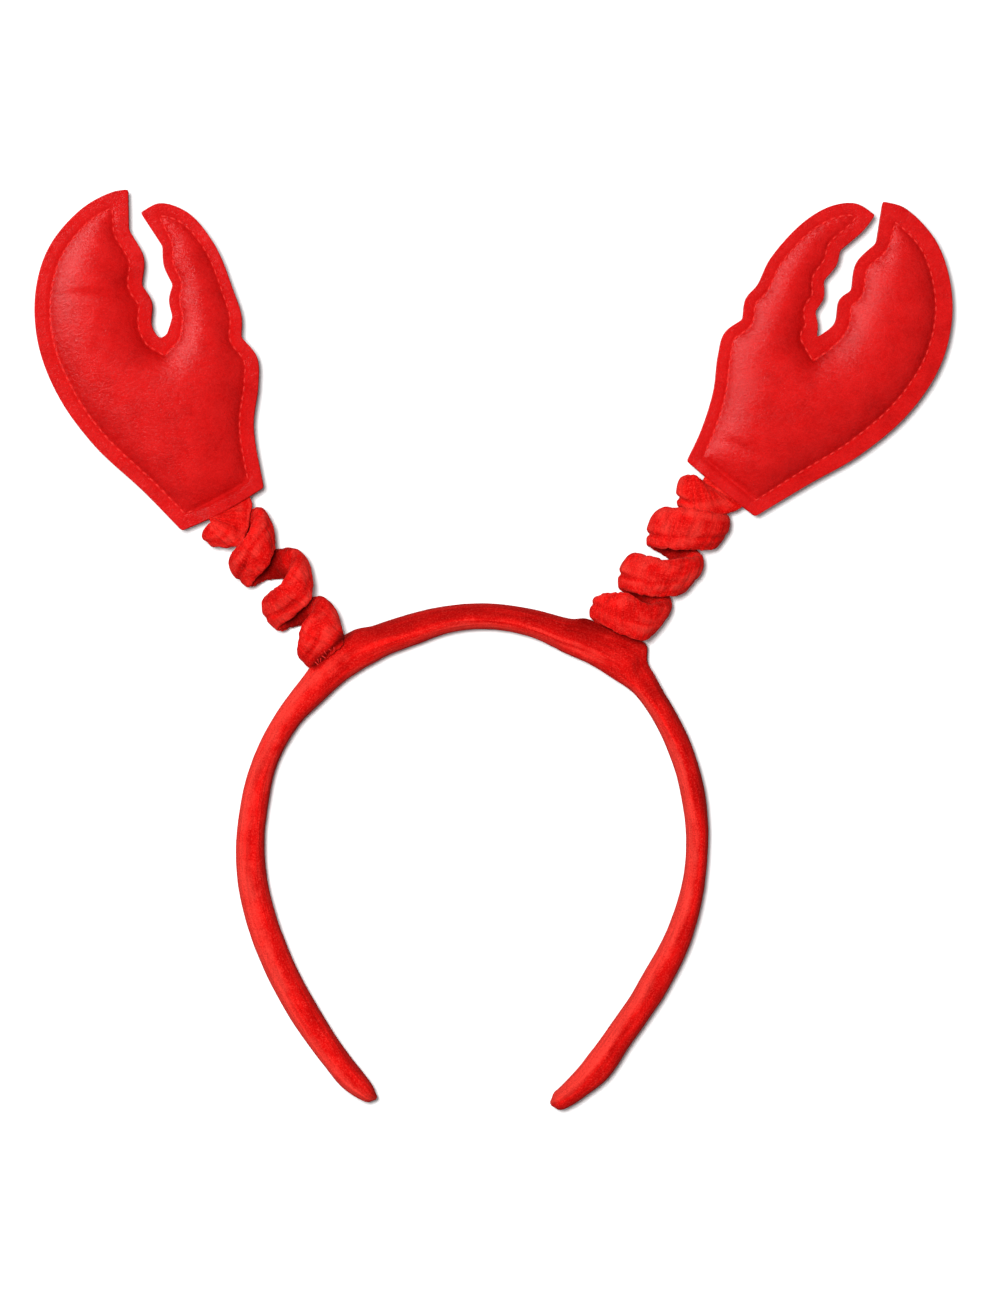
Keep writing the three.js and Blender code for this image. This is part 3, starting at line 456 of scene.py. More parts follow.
class Nodes:
    def __init__(self, name):
        self.material = bpy.data.materials.new(name)
        self.material.use_nodes = True
        self.tree = self.material.node_tree
        self.tree.nodes.clear()
        self.output = self.add("ShaderNodeOutputMaterial")
        self.shader = self.add("ShaderNodeBsdfPrincipled")
        self.link(self.shader.outputs["BSDF"], self.output.inputs["Surface"])
        self.place = self.add("ShaderNodeTexCoord").outputs["Object"]

    def add(self, kind, **values):
        node = self.tree.nodes.new(kind)
        for key, value in values.items():
            setattr(node, key, value)
        return node

    def link(self, a, b):
        self.tree.links.new(a, b)

    def stretch(self, source, scale, turn=0.0):
        node = self.add("ShaderNodeMapping")
        node.inputs["Scale"].default_value = scale
        node.inputs["Rotation"].default_value = (0, 0, turn)
        self.link(source, node.inputs["Vector"])
        return node.outputs["Vector"]

    def noise(self, scale, detail=2.0, rough=0.5, source=None, distortion=0.0):
        node = self.add("ShaderNodeTexNoise")
        node.inputs["Scale"].default_value = scale
        node.inputs["Detail"].default_value = detail
        node.inputs["Roughness"].default_value = rough
        node.inputs["Distortion"].default_value = distortion
        self.link(source or self.place, node.inputs["Vector"])
        return node.outputs["Fac"]

    def ramp(self, source, stops):
        node = self.add("ShaderNodeValToRGB")
        elements = node.color_ramp.elements
        while len(elements) > 1:
            elements.remove(elements[-1])
        elements[0].position, elements[0].color = stops[0][0], stops[0][1]
        for position, colour in stops[1:]:
            elements.new(position).color = colour
        self.link(source, node.inputs["Fac"])
        return node.outputs["Color"]

    def math(self, operation, a, b):
        node = self.add("ShaderNodeMath", operation=operation)
        for socket, value in zip(node.inputs, (a, b)):
            if isinstance(value, (int, float)):
                socket.default_value = value
            else:
                self.link(value, socket)
        return node.outputs[0]

    def mix(self, kind, share, a, b):
        node = self.add("ShaderNodeMix", data_type="RGBA", blend_type=kind)
        for key, value in ((0, share), (6, a), (7, b)):
            socket = node.inputs[key]
            if isinstance(value, (int, float, tuple)):
                socket.default_value = value
            else:
                self.link(value, socket)
        return node.outputs[2]

    def bump(self, height, strength, distance, below=None):
        node = self.add("ShaderNodeBump")
        node.inputs["Strength"].default_value = strength
        node.inputs["Distance"].default_value = distance
        self.link(height, node.inputs["Height"])
        if below is not None:
            self.link(below, node.inputs["Normal"])
        return node.outputs["Normal"]


def grey(v):
    return (v, v, v, 1.0)


def velour_material():
    m = Nodes("velour_red")
    weave = m.add("ShaderNodeAttribute", attribute_name="weave").outputs["Vector"]
    shade = m.add("ShaderNodeAttribute", attribute_name="shade").outputs["Fac"]
    streak = m.noise(1.0, 3, 0.6, m.stretch(weave, (0.055, 0.42, 0.42)))
    rib_at = m.add("ShaderNodeAttribute", attribute_name="rib_at").outputs["Vector"]
    ribs = m.noise(1.0, 1, 0.5, rib_at, 0.4)
    patch = m.noise(150, 3, 0.6)
    speck = m.noise(2300, 2, 0.7)
    fine = m.noise(5200, 1, 0.5)
    lie = m.math("ADD", m.math("MULTIPLY", streak, 0.55), m.math("MULTIPLY", patch, 0.45))
    tone = m.ramp(
        lie,
        [(0.32, (0.47, 0.0018, 0.0017, 1)), (0.50, (0.60, 0.0036, 0.0030, 1)), (0.66, (0.73, 0.008, 0.006, 1))],
    )
    # painted sheen: where the shade attribute is above 1, the colour goes towards a pinker, lighter red, as on the lit
    # sides
    painted_sheen_share = m.math("MINIMUM", m.math("MAXIMUM", m.math("MULTIPLY", m.math("SUBTRACT", shade, 1.0), 2.2), 0.0), 0.5)
    tone = m.mix("MIX", painted_sheen_share, tone, (0.75, 0.062, 0.045, 1))
    bright = m.ramp(speck, [(0.52, grey(0)), (0.74, grey(1))])
    dark = m.ramp(speck, [(0.26, grey(1)), (0.46, grey(0))])
    tone = m.mix("MIX", m.math("MULTIPLY", bright, 0.60), tone, (0.96, 0.058, 0.042, 1))
    tone = m.mix("MIX", m.math("MULTIPLY", dark, 0.6), tone, (0.32, 0.001, 0.001, 1))
    # painted light and shade on the ribs: lighter on their crests, darker between them
    painted_rib_light = m.ramp(ribs, [(0.34, grey(0.84)), (0.66, grey(1.13))])
    tone = m.mix("MULTIPLY", 0.8, tone, painted_rib_light)
    # painted light and shade from the shade attribute, with its random tone
    tone = m.mix("MULTIPLY", 1.0, tone, m.math("MINIMUM", shade, 1.03))
    s = m.shader.inputs
    m.link(tone, s["Base Color"])
    s["Roughness"].default_value = 0.8
    s["Specular IOR Level"].default_value = 0.05
    s["Sheen Weight"].default_value = 0.25
    s["Sheen Roughness"].default_value = 0.35
    s["Sheen Tint"].default_value = (1.0, 0.09, 0.07, 1)
    normal = m.bump(ribs, 0.55, 0.0005)
    normal = m.bump(speck, 0.8, 0.00035, normal)
    normal = m.bump(fine, 0.4, 0.00015, normal)
    m.link(normal, s["Normal"])
    return m.material


def claw_material():
    m = Nodes("claw_cloth_red")
    cloud = m.noise(120, 4, 0.62)
    nap = m.noise(1.0, 3, 0.65, m.stretch(m.place, (700, 1150, 900), 0.5))
    fine = m.noise(3300, 2, 0.65)
    tone = m.ramp(
        cloud,
        [(0.32, (0.47, 0.0016, 0.0016, 1)), (0.50, (0.545, 0.0026, 0.0026, 1)), (0.70, (0.60, 0.0048, 0.0046, 1))],
    )
    lift = m.ramp(nap, [(0.42, grey(0)), (0.74, grey(1))])
    tone = m.mix("MIX", m.math("MULTIPLY", lift, 0.42), tone, (0.65, 0.010, 0.009, 1))
    fibre = m.ramp(fine, [(0.50, grey(0)), (0.74, grey(1))])
    tone = m.mix("MIX", m.math("MULTIPLY", fibre, 0.30), tone, (0.70, 0.019, 0.018, 1))
    grain = m.ramp(fine, [(0.30, grey(0.80)), (0.70, grey(1.10))])
    tone = m.mix("MULTIPLY", 1.0, tone, grain)
    s = m.shader.inputs
    m.link(tone, s["Base Color"])
    brushed = m.noise(300, 3, 0.6)
    m.link(m.ramp(brushed, [(0.34, grey(0.31)), (0.66, grey(0.45))]), s["Roughness"])
    s["Specular IOR Level"].default_value = 0.5
    s["Sheen Weight"].default_value = 0.0
    s["Sheen Roughness"].default_value = 0.3
    s["Sheen Tint"].default_value = (1.0, 0.5, 0.5, 1)
    normal = m.bump(brushed, 0.22, 0.0007)
    normal = m.bump(nap, 0.5, 0.0006, normal)
    normal = m.bump(fine, 0.6, 0.00026, normal)
    m.link(normal, s["Normal"])
    return m.material


def thread_material():
    m = Nodes("thread_red")
    twist = m.noise(4200, 1, 0.5)
    tone = m.ramp(twist, [(0.35, (0.58, 0.014, 0.012, 1)), (0.65, (0.76, 0.044, 0.038, 1))])
    s = m.shader.inputs
    m.link(tone, s["Base Color"])
    s["Roughness"].default_value = 0.7
    s["Specular IOR Level"].default_value = 0.08
    m.link(m.bump(twist, 0.4, 0.0001), s["Normal"])
    return m.material


def filling_material():
    m = Nodes("filling_white")
    fluff = m.noise(500, 4, 0.7)
    s = m.shader.inputs
    m.link(m.ramp(fluff, [(0.3, (0.78, 0.75, 0.70, 1)), (0.7, (0.93, 0.92, 0.89, 1))]), s["Base Color"])
    s["Roughness"].default_value = 0.95
    m.link(m.bump(fluff, 0.6, 0.001), s["Normal"])
    return m.material


def floor_material():
    m = Nodes("pale_floor")
    grain = m.noise(60, 2, 0.5)
    s = m.shader.inputs
    m.link(m.ramp(grain, [(0.4, (0.95, 0.95, 0.95, 1)), (0.6, (0.96, 0.96, 0.96, 1))]), s["Base Color"])
    s["Roughness"].default_value = 0.9
    s["Specular IOR Level"].default_value = 0.0
    return m.material


VELOUR = velour_material()
CLAW = claw_material()
THREAD_RED = thread_material()
FILLING = filling_material()
FLOOR = floor_material()

# ------------------------------------------------------------------ band


def line_closeness(points, ends, reach):
    """1 on the line between two ends, 0 away from it over about reach; only on the upper side."""
    a, b = np.array(ends[0]), np.array(ends[1])
    line = b - a
    t = np.clip(((points[..., :2] - a) @ line) / (line @ line), 0, 1)
    near = a + t[..., None] * line
    d = np.linalg.norm(points[..., :2] - near, axis=-1)
    waver = reach * (1 + 0.3 * np.sin(t * 9.0) - 0.25 * t)
    return np.exp(-((d / waver) ** 2)) * (points[..., 2] > 6)


def seam_closeness(points):
    """Where the left sleeve is sewn to the band."""
    return line_closeness(points, JUNCTION, 1.15)


def build_band():
    table = np.array(BAND, float)
    first, last = table[0, 0], table[-1, 0]
    dense = np.linspace(first, last, 4000)
    inner = read_table(dense, table[:, 0], table[:, 1])
    outer = read_table(dense, table[:, 0], table[:, 2])
    mid = (inner + outer) / 2
    length = arc(np.stack([mid * np.cos(np.radians(dense)), mid * np.sin(np.radians(dense))], axis=1))
    stations = np.interp(np.linspace(0, length[-1], 560), length, dense)
    run = np.interp(stations, dense, length)
    inner = np.interp(stations, dense, inner)
    outer = np.interp(stations, dense, outer)
    height = read_table(stations, table[:, 0], table[:, 3])
    # round the two open ends off
    from_end = np.minimum(run, length[-1] - run)
    sides = 64
    turn = 2 * np.pi * (np.arange(sides) + 0.5) / sides
    push = lambda v, n: np.sign(v) * np.abs(v) ** (2 / n)
    across = push(np.cos(turn), 3.0)
    up = push(np.sin(turn), 2.7)
    half = (outer - inner) / 2
    end = np.sqrt(np.clip(1 - (1 - np.clip(from_end / 2.6, 0, 1)) ** 2, 0.02, 1))
    radius = (inner + outer)[:, None] / 2 + across[None, :] * (half * np.maximum(end, 0.55))[:, None]
    # the gusset thins towards its outer edge
    gusset = smoothstep(44.5, 49, stations) * (1 - smoothstep(63, 68, stations))
    thin = 1 - 0.68 * gusset[:, None] * smoothstep(-0.35, 0.7, across)[None, :]
    z = BAND_HEIGHT / 2 + up[None, :] * (BAND_HEIGHT / 2 + 0.1) * (height * np.maximum(end, 0.5))[:, None] * thin
    a = np.radians(stations)[:, None]
    rings = np.stack(
        [BAND_CENTRE[0] + radius * np.cos(a), BAND_CENTRE[1] + radius * np.sin(a), z], axis=2
    )
    normal = ring_normals(rings)
    # cloth: a soft ridge where the strip inside shows, shallow cross folds, and a crumpled surface
    u = np.repeat(run[:, None], sides, axis=1)
    girth = 34.0
    v = np.repeat((turn / (2 * np.pi) * girth)[None, :], len(run), axis=0)
    flat = np.stack([u, v, np.zeros_like(u)], axis=2).reshape(-1, 3)
    ring_xyz = rings.reshape(-1, 3)
    wander = 0.18 * np.sin(run / 23.0) + 0.1 * np.sin(run / 9.0 + 2)
    lobe = up > 0.2
    top = smoothstep(52, 66, stations) * (1 - smoothstep(112, 126, stations))
    place = across[None, :] + 0.5 * wander[:, None]
    ridge = (0.20 - 0.06 * top[:, None]) * np.exp(-(((place + 0.22) / 0.24) ** 2)) * lobe[None, :]
    valley = -(0.22 + 0.10 * top[:, None]) * np.exp(-(((place - 0.14) / 0.20) ** 2)) * lobe[None, :]
    cross_folds = 0.04 * noise(flat, (2.3, 14, 1), 5, 2).reshape(u.shape)
    crumple = 0.16 * noise(ring_xyz, (11, 11, 8), 9, 2).reshape(u.shape)
    pull = 0.30 * gusset[:, None] * noise(flat, (14, 2.6, 1), 15, 2).reshape(u.shape)
    rise = ridge + valley + cross_folds + crumple + pull
    rings = rings + normal * rise[:, :, None]
    # tone that differs at random, in a few long streaks and in mottling
    streaks = noise(np.stack([u, 5.2 * np.cos(v / 5.4), 5.2 * np.sin(v / 5.4)], axis=2).reshape(-1, 3), (34, 2.4, 2.4), 41, 2)
    shade = 1 + 0.10 * streaks.reshape(u.shape) + 0.09 * noise(flat, (9.0, 1.6, 1), 43, 2).reshape(u.shape)
    shade = shade + 0.08 * noise(ring_xyz, (2.3, 2.3, 2.3), 47, 2).reshape(u.shape)
    # painted light and shade on the top, as nap lying away from the eye would look: outer half darker, inner half
    # lighter, and a thin painted dark line near the inner edge
    shade = shade * (1 - 0.34 * top[:, None] * smoothstep(-0.25, 0.15, place))
    shade = shade * (1 + 0.12 * top[:, None] * smoothstep(-0.05, -0.4, place))
    shade = shade * (1 - 0.16 * top[:, None] * np.exp(-(((place + 0.40) / 0.07) ** 2)))
    # painted shade on the gusset's outer part
    shade = shade * (1 - 0.14 * gusset[:, None] * smoothstep(0.1, 0.9, place))
    # painted light and shade on the arms, as the light from the left falls: the left arm lighter on its outer side and
    # darker at its inner edge, the right arm lighter on its inner side and darker on its outer side
    left_arm = smoothstep(122, 136, stations)[:, None]
    right_arm = 1 - smoothstep(36, 48, stations)[:, None]
    shade = shade * (1 + left_arm * (0.24 * smoothstep(-0.3, 0.6, place) - 0.04 * smoothstep(-0.3, -0.9, place)))
    low_arm = 1 - smoothstep(-30, 25, stations)[:, None]
    shade = shade * (1 + right_arm * ((0.22 + 0.08 * low_arm) * smoothstep(0.3, -0.6, place) - (0.26 - 0.12 * low_arm) * smoothstep(-0.3, 0.8, place)))
    # the seam where the left sleeve is sewn on: the band is pressed down there and a painted shadow darkens it
    seam = seam_closeness(rings)
    rings[:, :, 2] -= 0.5 * seam
    shade = shade * (1 - 0.6 * seam)
    # painted shade along these lines: under the right sleeve, below the gusset, at the start of the right arm
    for _, start, end, reach, strength in PAINTED_SHADE_PLACES:
        shade = shade * (1 - strength * line_closeness(rings, (start, end), reach))
    # it lies on the floor: what would go under is pressed flat
    rings[:, :, 2] = np.maximum(rings[:, :, 2], 0.0)
    ob = tube("headband_velour", rings + SHIFT, run, shade, RIBS_ALONG_BAND)
    ob.data.materials.append(VELOUR)
    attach(ob, "root")
    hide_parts("headband")
    return ob


# ------------------------------------------------------------------ sleeves


def build_sleeve(side, rows, seed):
    data = np.array([r[1:] for r in rows], float)
    path, where = curve_through(data[:, :5], 60)
    middle = np.column_stack([(path[:, :2] + path[:, 2:4]) / 2, path[:, 4]])
    s = arc(middle)
    at = np.linspace(0, s[-1], int(s[-1] / 0.26) + 1)
    edges = np.stack([np.interp(at, s, path[:, k]) for k in range(5)], axis=1)
    row = np.interp(at, s, where)
    thick, crease, dent = (read_table(row, np.arange(len(rows)), data[:, k]) for k in (5, 6, 7))
    centre = np.column_stack([(edges[:, :2] + edges[:, 2:4]) / 2, edges[:, 4]])
    half = np.column_stack([(edges[:, 2:4] - edges[:, :2]) / 2, 0 * at])
    width = np.linalg.norm(half, axis=1) * 2
    along = np.gradient(centre, axis=0)
    along /= np.linalg.norm(along, axis=1, keepdims=True)
    out = np.cross(along, half)
    out /= np.linalg.norm(out, axis=1, keepdims=True)
    front = np.abs(row - 4) < 0.5
    if out[front, 2].mean() * (1 if data[5, 4] > 10 else -1) < 0:
        out = -out
    sides = 84
    turn = 2 * np.pi * np.arange(sides) / sides
    across = np.sign(np.cos(turn)) * np.abs(np.cos(turn)) ** (2 / 2.5)
    up = np.sign(np.sin(turn)) * np.abs(np.sin(turn)) ** (2 / 2.3)
    taper = 1 - 0.42 * smoothstep(-0.3, 1.0, across)
    u = np.repeat(at[:, None], sides, axis=1)
    v = np.repeat((turn / (2 * np.pi) * 32.0)[None, :], len(at), axis=0)
    flat = np.stack([u, v, np.full_like(u, 7.0 * seed)], axis=2).reshape(-1, 3)
    # the ribbon's edges waver where the cloth is bunched
    line = np.stack([at, 0 * at, 0 * at + 3.0 * seed], axis=1)
    edge_a = 1 + 0.05 * noise(line, (2.6, 1, 1), seed + 3, 2)
    edge_b = 1 + 0.05 * noise(line, (2.4, 1, 1), seed + 5, 2)
    reach = np.where(across[None, :] > 0, edge_b[:, None], edge_a[:, None]) * across[None, :]
    rings = (
        centre[:, None, :]
        + half[:, None, :] * reach[:, :, None]
        + out[:, None, :] * (up[None, :] * (thick / 2)[:, None] * taper[None, :])[:, :, None]
    )
    normal = ring_normals(rings)
    outer = smoothstep(0.0, 0.45, up)[None, :]
    fade = smoothstep(4, 10, at)[:, None]
    wander = 0.16 * noise(line, (5.5, 1, 1), seed + 41, 2)
    place = across[None, :] - crease[:, None] - wander[:, None]
    place = place * width[:, None] / 2
    strength = 0.30 + 1.2 * smoothstep(-0.5, 0.7, noise(line, (4.6, 1, 1), seed + 43, 2))
    deep = (np.minimum(dent, 0.55) * strength + np.maximum(dent - 0.55, 0))[:, None] * outer
    fold = -deep * np.exp(-((place / 0.75) ** 2)) + 0.28 * deep * np.exp(-((place / 2.1) ** 2))
    # gathers run across the strand, finer than they are long, in some places only
    patches = smoothstep(-0.25, 0.5, noise(flat, (6.0, 4.5, 1), seed + 61, 1)).reshape(u.shape)
    ribs = 0.24 * patches * noise(flat, (0.85, 8.0, 1), seed + 11, 1).reshape(u.shape)
    lean = flat + np.column_stack([0.42 * flat[:, 1], 0 * flat[:, 1], 0 * flat[:, 1]])
    gathers = 0.30 * noise(lean, (1.8, 6.0, 1), seed + 16, 2).reshape(u.shape)
    crumple = 0.34 * noise(flat, (3.6, 3.6, 1), seed + 21, 3).reshape(u.shape)
    rise = fold * fade + (ribs + gathers + crumple) * (0.3 + 0.7 * fade)
    rings = rings + normal * rise[:, :, None]
    rings[:, :, 2] = np.maximum(rings[:, :, 2], 0.0)
    shade = 1.03 + 0.10 * noise(flat, (9, 3.2, 1), seed + 31, 2).reshape(u.shape)
    shade = shade + 0.15 * noise(flat, (2.6, 2.0, 1), seed + 33, 2).reshape(u.shape)
    # painted shade in the long fold, painted light on its shoulders
    shade = shade * (1 + 0.3 * fold / np.maximum(0.5, np.abs(fold).max()))
    # painted shade: the turns that lie behind are darkened, as they get little light
    shade = shade * (1 - 0.56 * smoothstep(8.6, 5.0, rings[:, :, 2]) * (normal[:, :, 2] > 0.2))
    # painted shadow in the seam where the left sleeve is sewn to the band; the strand is also pressed down there
    if side == "left":
        seam = seam_closeness(rings)
        shade = shade * (1 - 0.78 * seam)
        rings[:, :, 2] = np.maximum(rings[:, :, 2] - 0.8 * seam, 0.0)
    ob = tube("spring_sleeve_" + side + "_velour", rings + SHIFT, at, shade, RIBS_ROUND_STRAND)
    ob.data.materials.append(VELOUR)
    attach(ob, "root")
    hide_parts("spring_sleeve_" + side)
    return ob


# ------------------------------------------------------------------ claws


def claw_outline(claw, step):
    rows = claw["rows"]
    ring = rows + rows[:1]
    pieces = []
    i = 0
    while i < len(ring) - 1:
        j = i + 1
        while ring[j][3] != CORNER:
            j += 1
        run, _ = curve_through([(r[1], r[2], r[4]) for r in ring[i : j + 1]], 40)
        pieces.append(resample(run, 0.3)[:-1])
        i = j
    line = np.vstack(pieces)[::-1]
    line = resample(line, 0.3, closed=True)
    line = softened(line, 0.65, 0.3)
    return resample(line, step, closed=True)


def measure(line, q):
    """For points q: distance to the outline, border width there, arc length there, and whether inside."""
    a = line[:, :2]
    b = np.roll(line, -1, axis=0)[:, :2]
    seam_a, seam_b = line[:, 2], np.roll(line[:, 2], -1)
    run = np.concatenate([[0], np.cumsum(np.linalg.norm(b - a, axis=1))])
    out = np.zeros((len(q), 3))
    inside = np.zeros(len(q), bool)
    for lo in range(0, len(q), 4000):
        p = q[lo : lo + 4000, None, :]
        ab = (b - a)[None]
        t = np.clip(((p - a) * ab).sum(2) / (ab**2).sum(2), 0, 1)
        d = np.linalg.norm(p - a - t[:, :, None] * ab, axis=2)
        k = d.argmin(axis=1)
        n = np.arange(len(k))
        out[lo : lo + 4000, 0] = d[n, k]
        out[lo : lo + 4000, 1] = seam_a[k] + t[n, k] * (seam_b - seam_a)[k]
        out[lo : lo + 4000, 2] = run[k] + t[n, k] * (run[k + 1] - run[k])
        y = p[:, :, 1]
        x = p[:, :, 0]
        crosses = (a[:, 1] > y) != (b[:, 1] > y)
        with np.errstate(divide="ignore", invalid="ignore"):
            where = a[:, 0] + (y - a[:, 1]) / (b[:, 1] - a[:, 1]) * (b[:, 0] - a[:, 0])
        inside[lo : lo + 4000] = (crosses & (x < where)).sum(axis=1) % 2 == 1
    return out[:, 0], out[:, 1], out[:, 2], inside


def inward(line, reach):
    """The outline moved in by reach (one number or one for each point), square to its edges."""
    before = np.roll(line, 1, axis=0)[:, :2]
    after = np.roll(line, -1, axis=0)[:, :2]
    edge = after - before
    normal = np.stack([-edge[:, 1], edge[:, 0]], axis=1)
    normal /= np.linalg.norm(normal, axis=1, keepdims=True)
    return line[:, :2] + normal * np.reshape(reach, (-1, 1))


def thinned(points, keep_first, apart):
    """Drops points that lie closer than apart to one that is already kept."""
    cells = {}
    kept = []
    for i, (x, y) in enumerate(points):
        r = apart[i]
        cx, cy = int(x // 1.2), int(y // 1.2)
        near = False
        if i >= keep_first:
            for gx in (cx - 1, cx, cx + 1):
                for gy in (cy - 1, cy, cy + 1):
                    for jx, jy in cells.get((gx, gy), ()):
                        if (jx - x) ** 2 + (jy - y) ** 2 < r * r:
                            near = True
                            break
                    if near:
                        break
                if near:
                    break
        if not near:
            cells.setdefault((cx, cy), []).append((x, y))
            kept.append(i)
    return np.array(kept)


def stitch_line(claw, line):
    """The line of stitches inside the border: the outline moved in, with a sharp corner at the bottom of the gap."""
    q = inward(line, line[:, 2])
    d, seam, _, ok = measure(line, q)
    path = q[ok & (d > seam - 0.12)]
    x, y, reach = claw["gap_stitch"]
    near = np.hypot(path[:, 0] - x, path[:, 1] - y) < reach
    if near.any():
        first = int(np.where(near & ~np.roll(near, 1))[0][0])
        path = np.roll(path, -first, axis=0)
        near = np.roll(near, -first)
        path = np.vstack([[(x, y)], path[~near]])
    return resample(path, 0.25, closed=True)


def signed(path, q):
    d, _, run, ok = measure(np.column_stack([path, np.zeros(len(path))]), q)
    return np.where(ok, d, -d), run


def flat_claw(claw):
    line = claw_outline(claw, 0.7)
    path = stitch_line(claw, line)
    coarse = resample(path, 0.55, closed=True)
    n = len(line)
    clouds = [line[:, :2]]
    gaps = [np.zeros(n)]
    for reach, gap in ((0.35, 0.3), (0.95, 0.5)):
        q = inward(line, reach)
        d, _, _, ok = measure(line, q)
        q = q[ok & (d > reach - 0.04)]
        clouds.append(q)
        gaps.append(np.full(len(q), gap))
    for reach, gap in (
        (0.0, 0.36),
        (-0.5, 0.42),
        (0.5, 0.42),
        (-1.1, 0.5),
        (1.05, 0.5),
        (-1.9, 0.62),
        (1.7, 0.55),
        (2.5, 0.62),
        (3.4, 0.7),
    ):
        q = inward(coarse, reach)
        depth, _ = signed(path, q)
        d, _, _, ok = measure(line, q)
        q = q[ok & (d > 0.7) & (np.abs(depth - reach) < 0.12)]
        clouds.append(q)
        gaps.append(np.full(len(q), gap))
    step = 0.92
    rows = [
        np.column_stack([np.arange(-46, 46, step) + (k % 2) * step / 2, np.full(100, -5 + k * step * 0.866)])
        for k in range(int(112 / (step * 0.866)))
    ]
    hexes = np.vstack(rows)
    hexes = hexes + 0.04 * np.stack(
        [np.sin(hexes[:, 0] * 12.9 + hexes[:, 1] * 7.7), np.cos(hexes[:, 0] * 5.3 + hexes[:, 1] * 9.1)], axis=1
    )
    d, _, _, ok = measure(line, hexes)
    hexes = hexes[ok & (d > 0.9)]
    clouds.append(hexes)
    gaps.append(np.full(len(hexes), 0.74))
    points = np.vstack(clouds)
    keep = thinned(points.tolist(), n, np.concatenate(gaps))
    points = points[keep]
    edges = [(i, (i + 1) % n) for i in range(n)]
    made = delaunay_2d_cdt([Vector(p) for p in points], edges, [], 1, 1e-5)
    points = np.array([tuple(v) for v in made[0]])
    faces = np.array([f for f in made[2] if len(f) == 3])
    _, _, _, ok = measure(line, points[faces].mean(axis=1))
    faces = faces[ok]
    used = np.unique(faces)
    renumber = -np.ones(len(points), int)
    renumber[used] = np.arange(len(used))
    points, faces = points[used], renumber[faces]
    a, b, c = (points[faces[:, k]] for k in range(3))
    turn = (b[:, 0] - a[:, 0]) * (c[:, 1] - a[:, 1]) - (b[:, 1] - a[:, 1]) * (c[:, 0] - a[:, 0])
    faces[turn < 0] = faces[turn < 0][:, ::-1]
    edge, _, _, _ = measure(line, points)
    depth, run = signed(path, points)
    total = arc(np.vstack([path, path[:1]]))[-1]
    pitch = total / round(total / STITCH_PITCH)
    return {
        "line": line,
        "path": path,
        "points": points,
        "faces": faces,
        "depth": depth,
        "run": run,
        "edge": edge,
        "pitch": pitch,
    }


def relax(mesh, rise):
    """Falls from 1 on the border to 0 far inside, over about rise: the screened Laplace equation on the flat mesh."""
    points, faces, depth = mesh["points"], mesh["faces"], mesh["depth"]
    n = len(points)
    rows, cols, vals = [], [], []
    mass = np.zeros(n)
    for k in range(3):
        i, j, o = faces[:, k], faces[:, (k + 1) % 3], faces[:, (k + 2) % 3]
        p, q = points[i] - points[o], points[j] - points[o]
        cross = np.abs(p[:, 0] * q[:, 1] - p[:, 1] * q[:, 0])
        w = np.maximum(0.02, (p * q).sum(1) / np.maximum(cross, 1e-9) / 2)
        rows += [i, j]
        cols += [j, i]
        vals += [w, w]
        mass += np.bincount(o, cross / 6, n)
    rows, cols, vals = map(np.concatenate, (rows, cols, vals))
    total = np.bincount(rows, vals, n)
    free = depth > 0.02

    def apply(v):
        return mass * v + rise**2 * (total * v - np.bincount(rows, vals * v[cols], n))

    x = (~free).astype(float)
    r = np.where(free, -apply(x), 0.0)
    diag = mass + rise**2 * total
    z = r / diag
    p = z.copy()
    rz = (r * z).sum()
    for _ in range(260):
        ap = np.where(free, apply(p), 0.0)
        step = rz / (p * ap).sum()
        x += step * p
        r -= step * ap
        z = r / diag
        fresh = (r * z).sum()
        if fresh < 1e-12:
            break
        p = z + p * (fresh / rz)
        rz = fresh
    return x


def placed(claw, p):
    a = math.radians(claw["tilt"])
    c, s = math.cos(a), math.sin(a)
    out = p.copy()
    out[:, 0] = claw["at"][0] + c * p[:, 0] - s * p[:, 1]
    out[:, 1] = claw["at"][1] + s * p[:, 0] + c * p[:, 1]
    return out + SHIFT


def vertex_normals(points, faces):
    a, b, c = (points[faces[:, k]] for k in range(3))
    n = np.cross(b - a, c - a)
    out = np.zeros_like(points)
    for k in range(3):
        for d in range(3):
            out[:, d] += np.bincount(faces[:, k], n[:, d], len(points))
    return out / (np.linalg.norm(out, axis=1, keepdims=True) + 1e-12)


